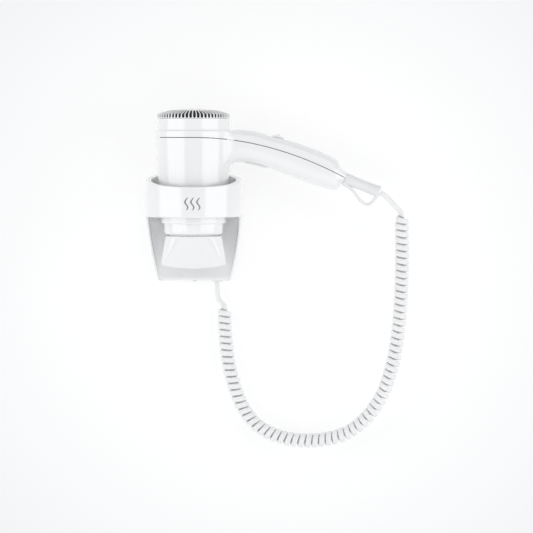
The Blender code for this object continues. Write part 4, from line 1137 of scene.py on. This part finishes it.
KEPT_FINISHES = {
    "steel": [
        "motor_can", "motor_shaft", "heater_coil", "cord_clamp_screw_left", "cord_clamp_screw_right",
        "handle_clamp_screw_left", "handle_clamp_screw_right",
    ],
    "brass": ["thermal_fuse", "terminal_screw_1", "terminal_screw_2", "terminal_screw_3"],
    "mica": ["heater_sleeve", "heater_board_a", "heater_board_b"],
    "dark": ["fan_duct", "motor_end_cap", "impeller", "selector_switch", "safety_switch", "rectifier"],
    "grey": ["terminal_block", "cord_clamp_bar", "handle_clamp_bar", "thermostat"],
    "board": ["circuit_board"],
    "wire": ["heater_wire", "motor_wire"],
    "cord": ["holder_inner_lead", "handle_inner_lead"],
}


def finish_kept_parts(finishes):
    for label, names in KEPT_FINISHES.items():
        for name in names:
            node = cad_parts[name]
            for slot in node.material_slots:
                slot.material = finishes[label]


# Studio


def backdrop():
    """A pale wall that curves out into a pale floor, clear from behind so that it never hides the object. It
    glows with painted light, brightest in a pool round the dryer.
    """
    made = Nodes("pale_backdrop_painted_glow")
    # Painted pool of light: a round gradient, lighter in the middle and darker towards the edges.
    glow = made.add("ShaderNodeMapping", Vector=made.place, Location=(-0.2, 0.0, 0.1), Scale=(2.2, 2.2, 2.2))
    around = made.add("ShaderNodeTexGradient", Vector=glow.outputs["Vector"])
    around.gradient_type = "SPHERICAL"
    tone = made.ramp(around.outputs["Fac"], (0.0, (0.30, 0.305, 0.31)), (0.6, (0.42, 0.42, 0.42)))
    made.surface(tone, 0.9)
    # The wall glows: painted light that washes out the shadows cast on it.
    light = made.ramp(around.outputs["Fac"], (0.0, (0.58, 0.585, 0.59)), (0.6, (0.60, 0.60, 0.60)))
    made.feed(made.shader, Emission_Color=light, Emission_Strength=1.0, Specular_IOR_Level=0.1)
    clear = made.add("ShaderNodeBsdfTransparent")
    side = made.add("ShaderNodeNewGeometry")
    mix = made.add("ShaderNodeMixShader")
    made.tree.links.new(side.outputs["Backfacing"], mix.inputs["Fac"])
    made.tree.links.new(made.shader.outputs["BSDF"], mix.inputs[1])
    made.tree.links.new(clear.outputs["BSDF"], mix.inputs[2])
    made.tree.links.new(mix.outputs["Shader"], made.tree.nodes["Material Output"].inputs["Surface"])
    wall_y, floor_z, bend, half = 0.6, -1350.0, 300.0, 2600.0
    profile = [(wall_y, 2400.0), (wall_y, 800.0)]
    profile += arc((wall_y - bend, floor_z + bend), bend, 0.0, -90.0, 16) + [(-half, floor_z)]
    shape = bmesh.new()
    rows = [[shape.verts.new((x, y, z)) for x in (-half, half)] for y, z in profile]
    for upper, lower in zip(rows, rows[1:]):
        shape.faces.new((upper[0], lower[0], lower[1], upper[1]))
    place("backdrop", shape, made.material, sheet=True)


# Each softbox's name, place, width and height in metres, and power in watts.
SOFTBOXES = [
    ("left_box", (-1.90, -1.27, 0.05), (2.7, 1.3), 19.5),
    ("right_box", (2.00, -1.27, 0.05), (2.7, 1.3), 19.5),
    ("top_box", (0.05, -2.0, 1.75), (3.4, 1.8), 15.0),
    ("low_box", (0.05, -2.2, -1.15), (3.4, 1.3), 9.0),
    ("front_box", (0.05, -3.4, 0.05), (3.0, 2.4), 7.0),
]


def studio():
    """Boxes to the left and right, above, below and in front, and a pale surround."""
    for name, at, size, power in SOFTBOXES:
        data = bpy.data.lights.new(name, "AREA")
        data.shape = "RECTANGLE"
        data.size, data.size_y = size
        data.energy = power
        stand(bpy.data.objects.new(name, data), at, (0.05, -0.05, 0.0))
    world = bpy.data.worlds.new("surround")
    world.use_nodes = True
    surround = world.node_tree.nodes["Background"]
    surround.inputs["Color"].default_value = (0.97, 0.985, 1.0, 1.0)
    surround.inputs["Strength"].default_value = 0.34
    bpy.context.scene.world = world
    bpy.context.scene.view_settings.view_transform = "Standard"


# What is built, in this order, and the finishes each takes.
STEPS = [
    (cord, "cord"), (collar_ring, "gloss"), (scoop, "gloss"),
    (side_webs, "gloss"), (back_plate, "satin"), (rest_ring, "pad"),
    (gland, "satin"), (foot_screw, "steel"), (warm_air_mark, "print"),
    (upper_half, "gloss", "dark"), (lower_half, "gloss", "dark"), (screw_wells, "gloss", "steel"),
    (intake_cap, "gloss"), (intake_screen, "screen"), (outlet_rings, "gloss"),
    (concentrator, "gloss"), (outlet_guard, "dark"), (thumb_slider, "satin"),
    (push_bar, "guard", "dark"), (push_bar_spring, "steel"), (seam_ribs, "dark"),
    (strain_relief, "guard"),
]


def main():
    camera()
    finishes = make_materials()
    for build, *labels in STEPS:
        build(*(finishes[label] for label in labels))
    finish_kept_parts(finishes)
    backdrop()
    studio()


main()
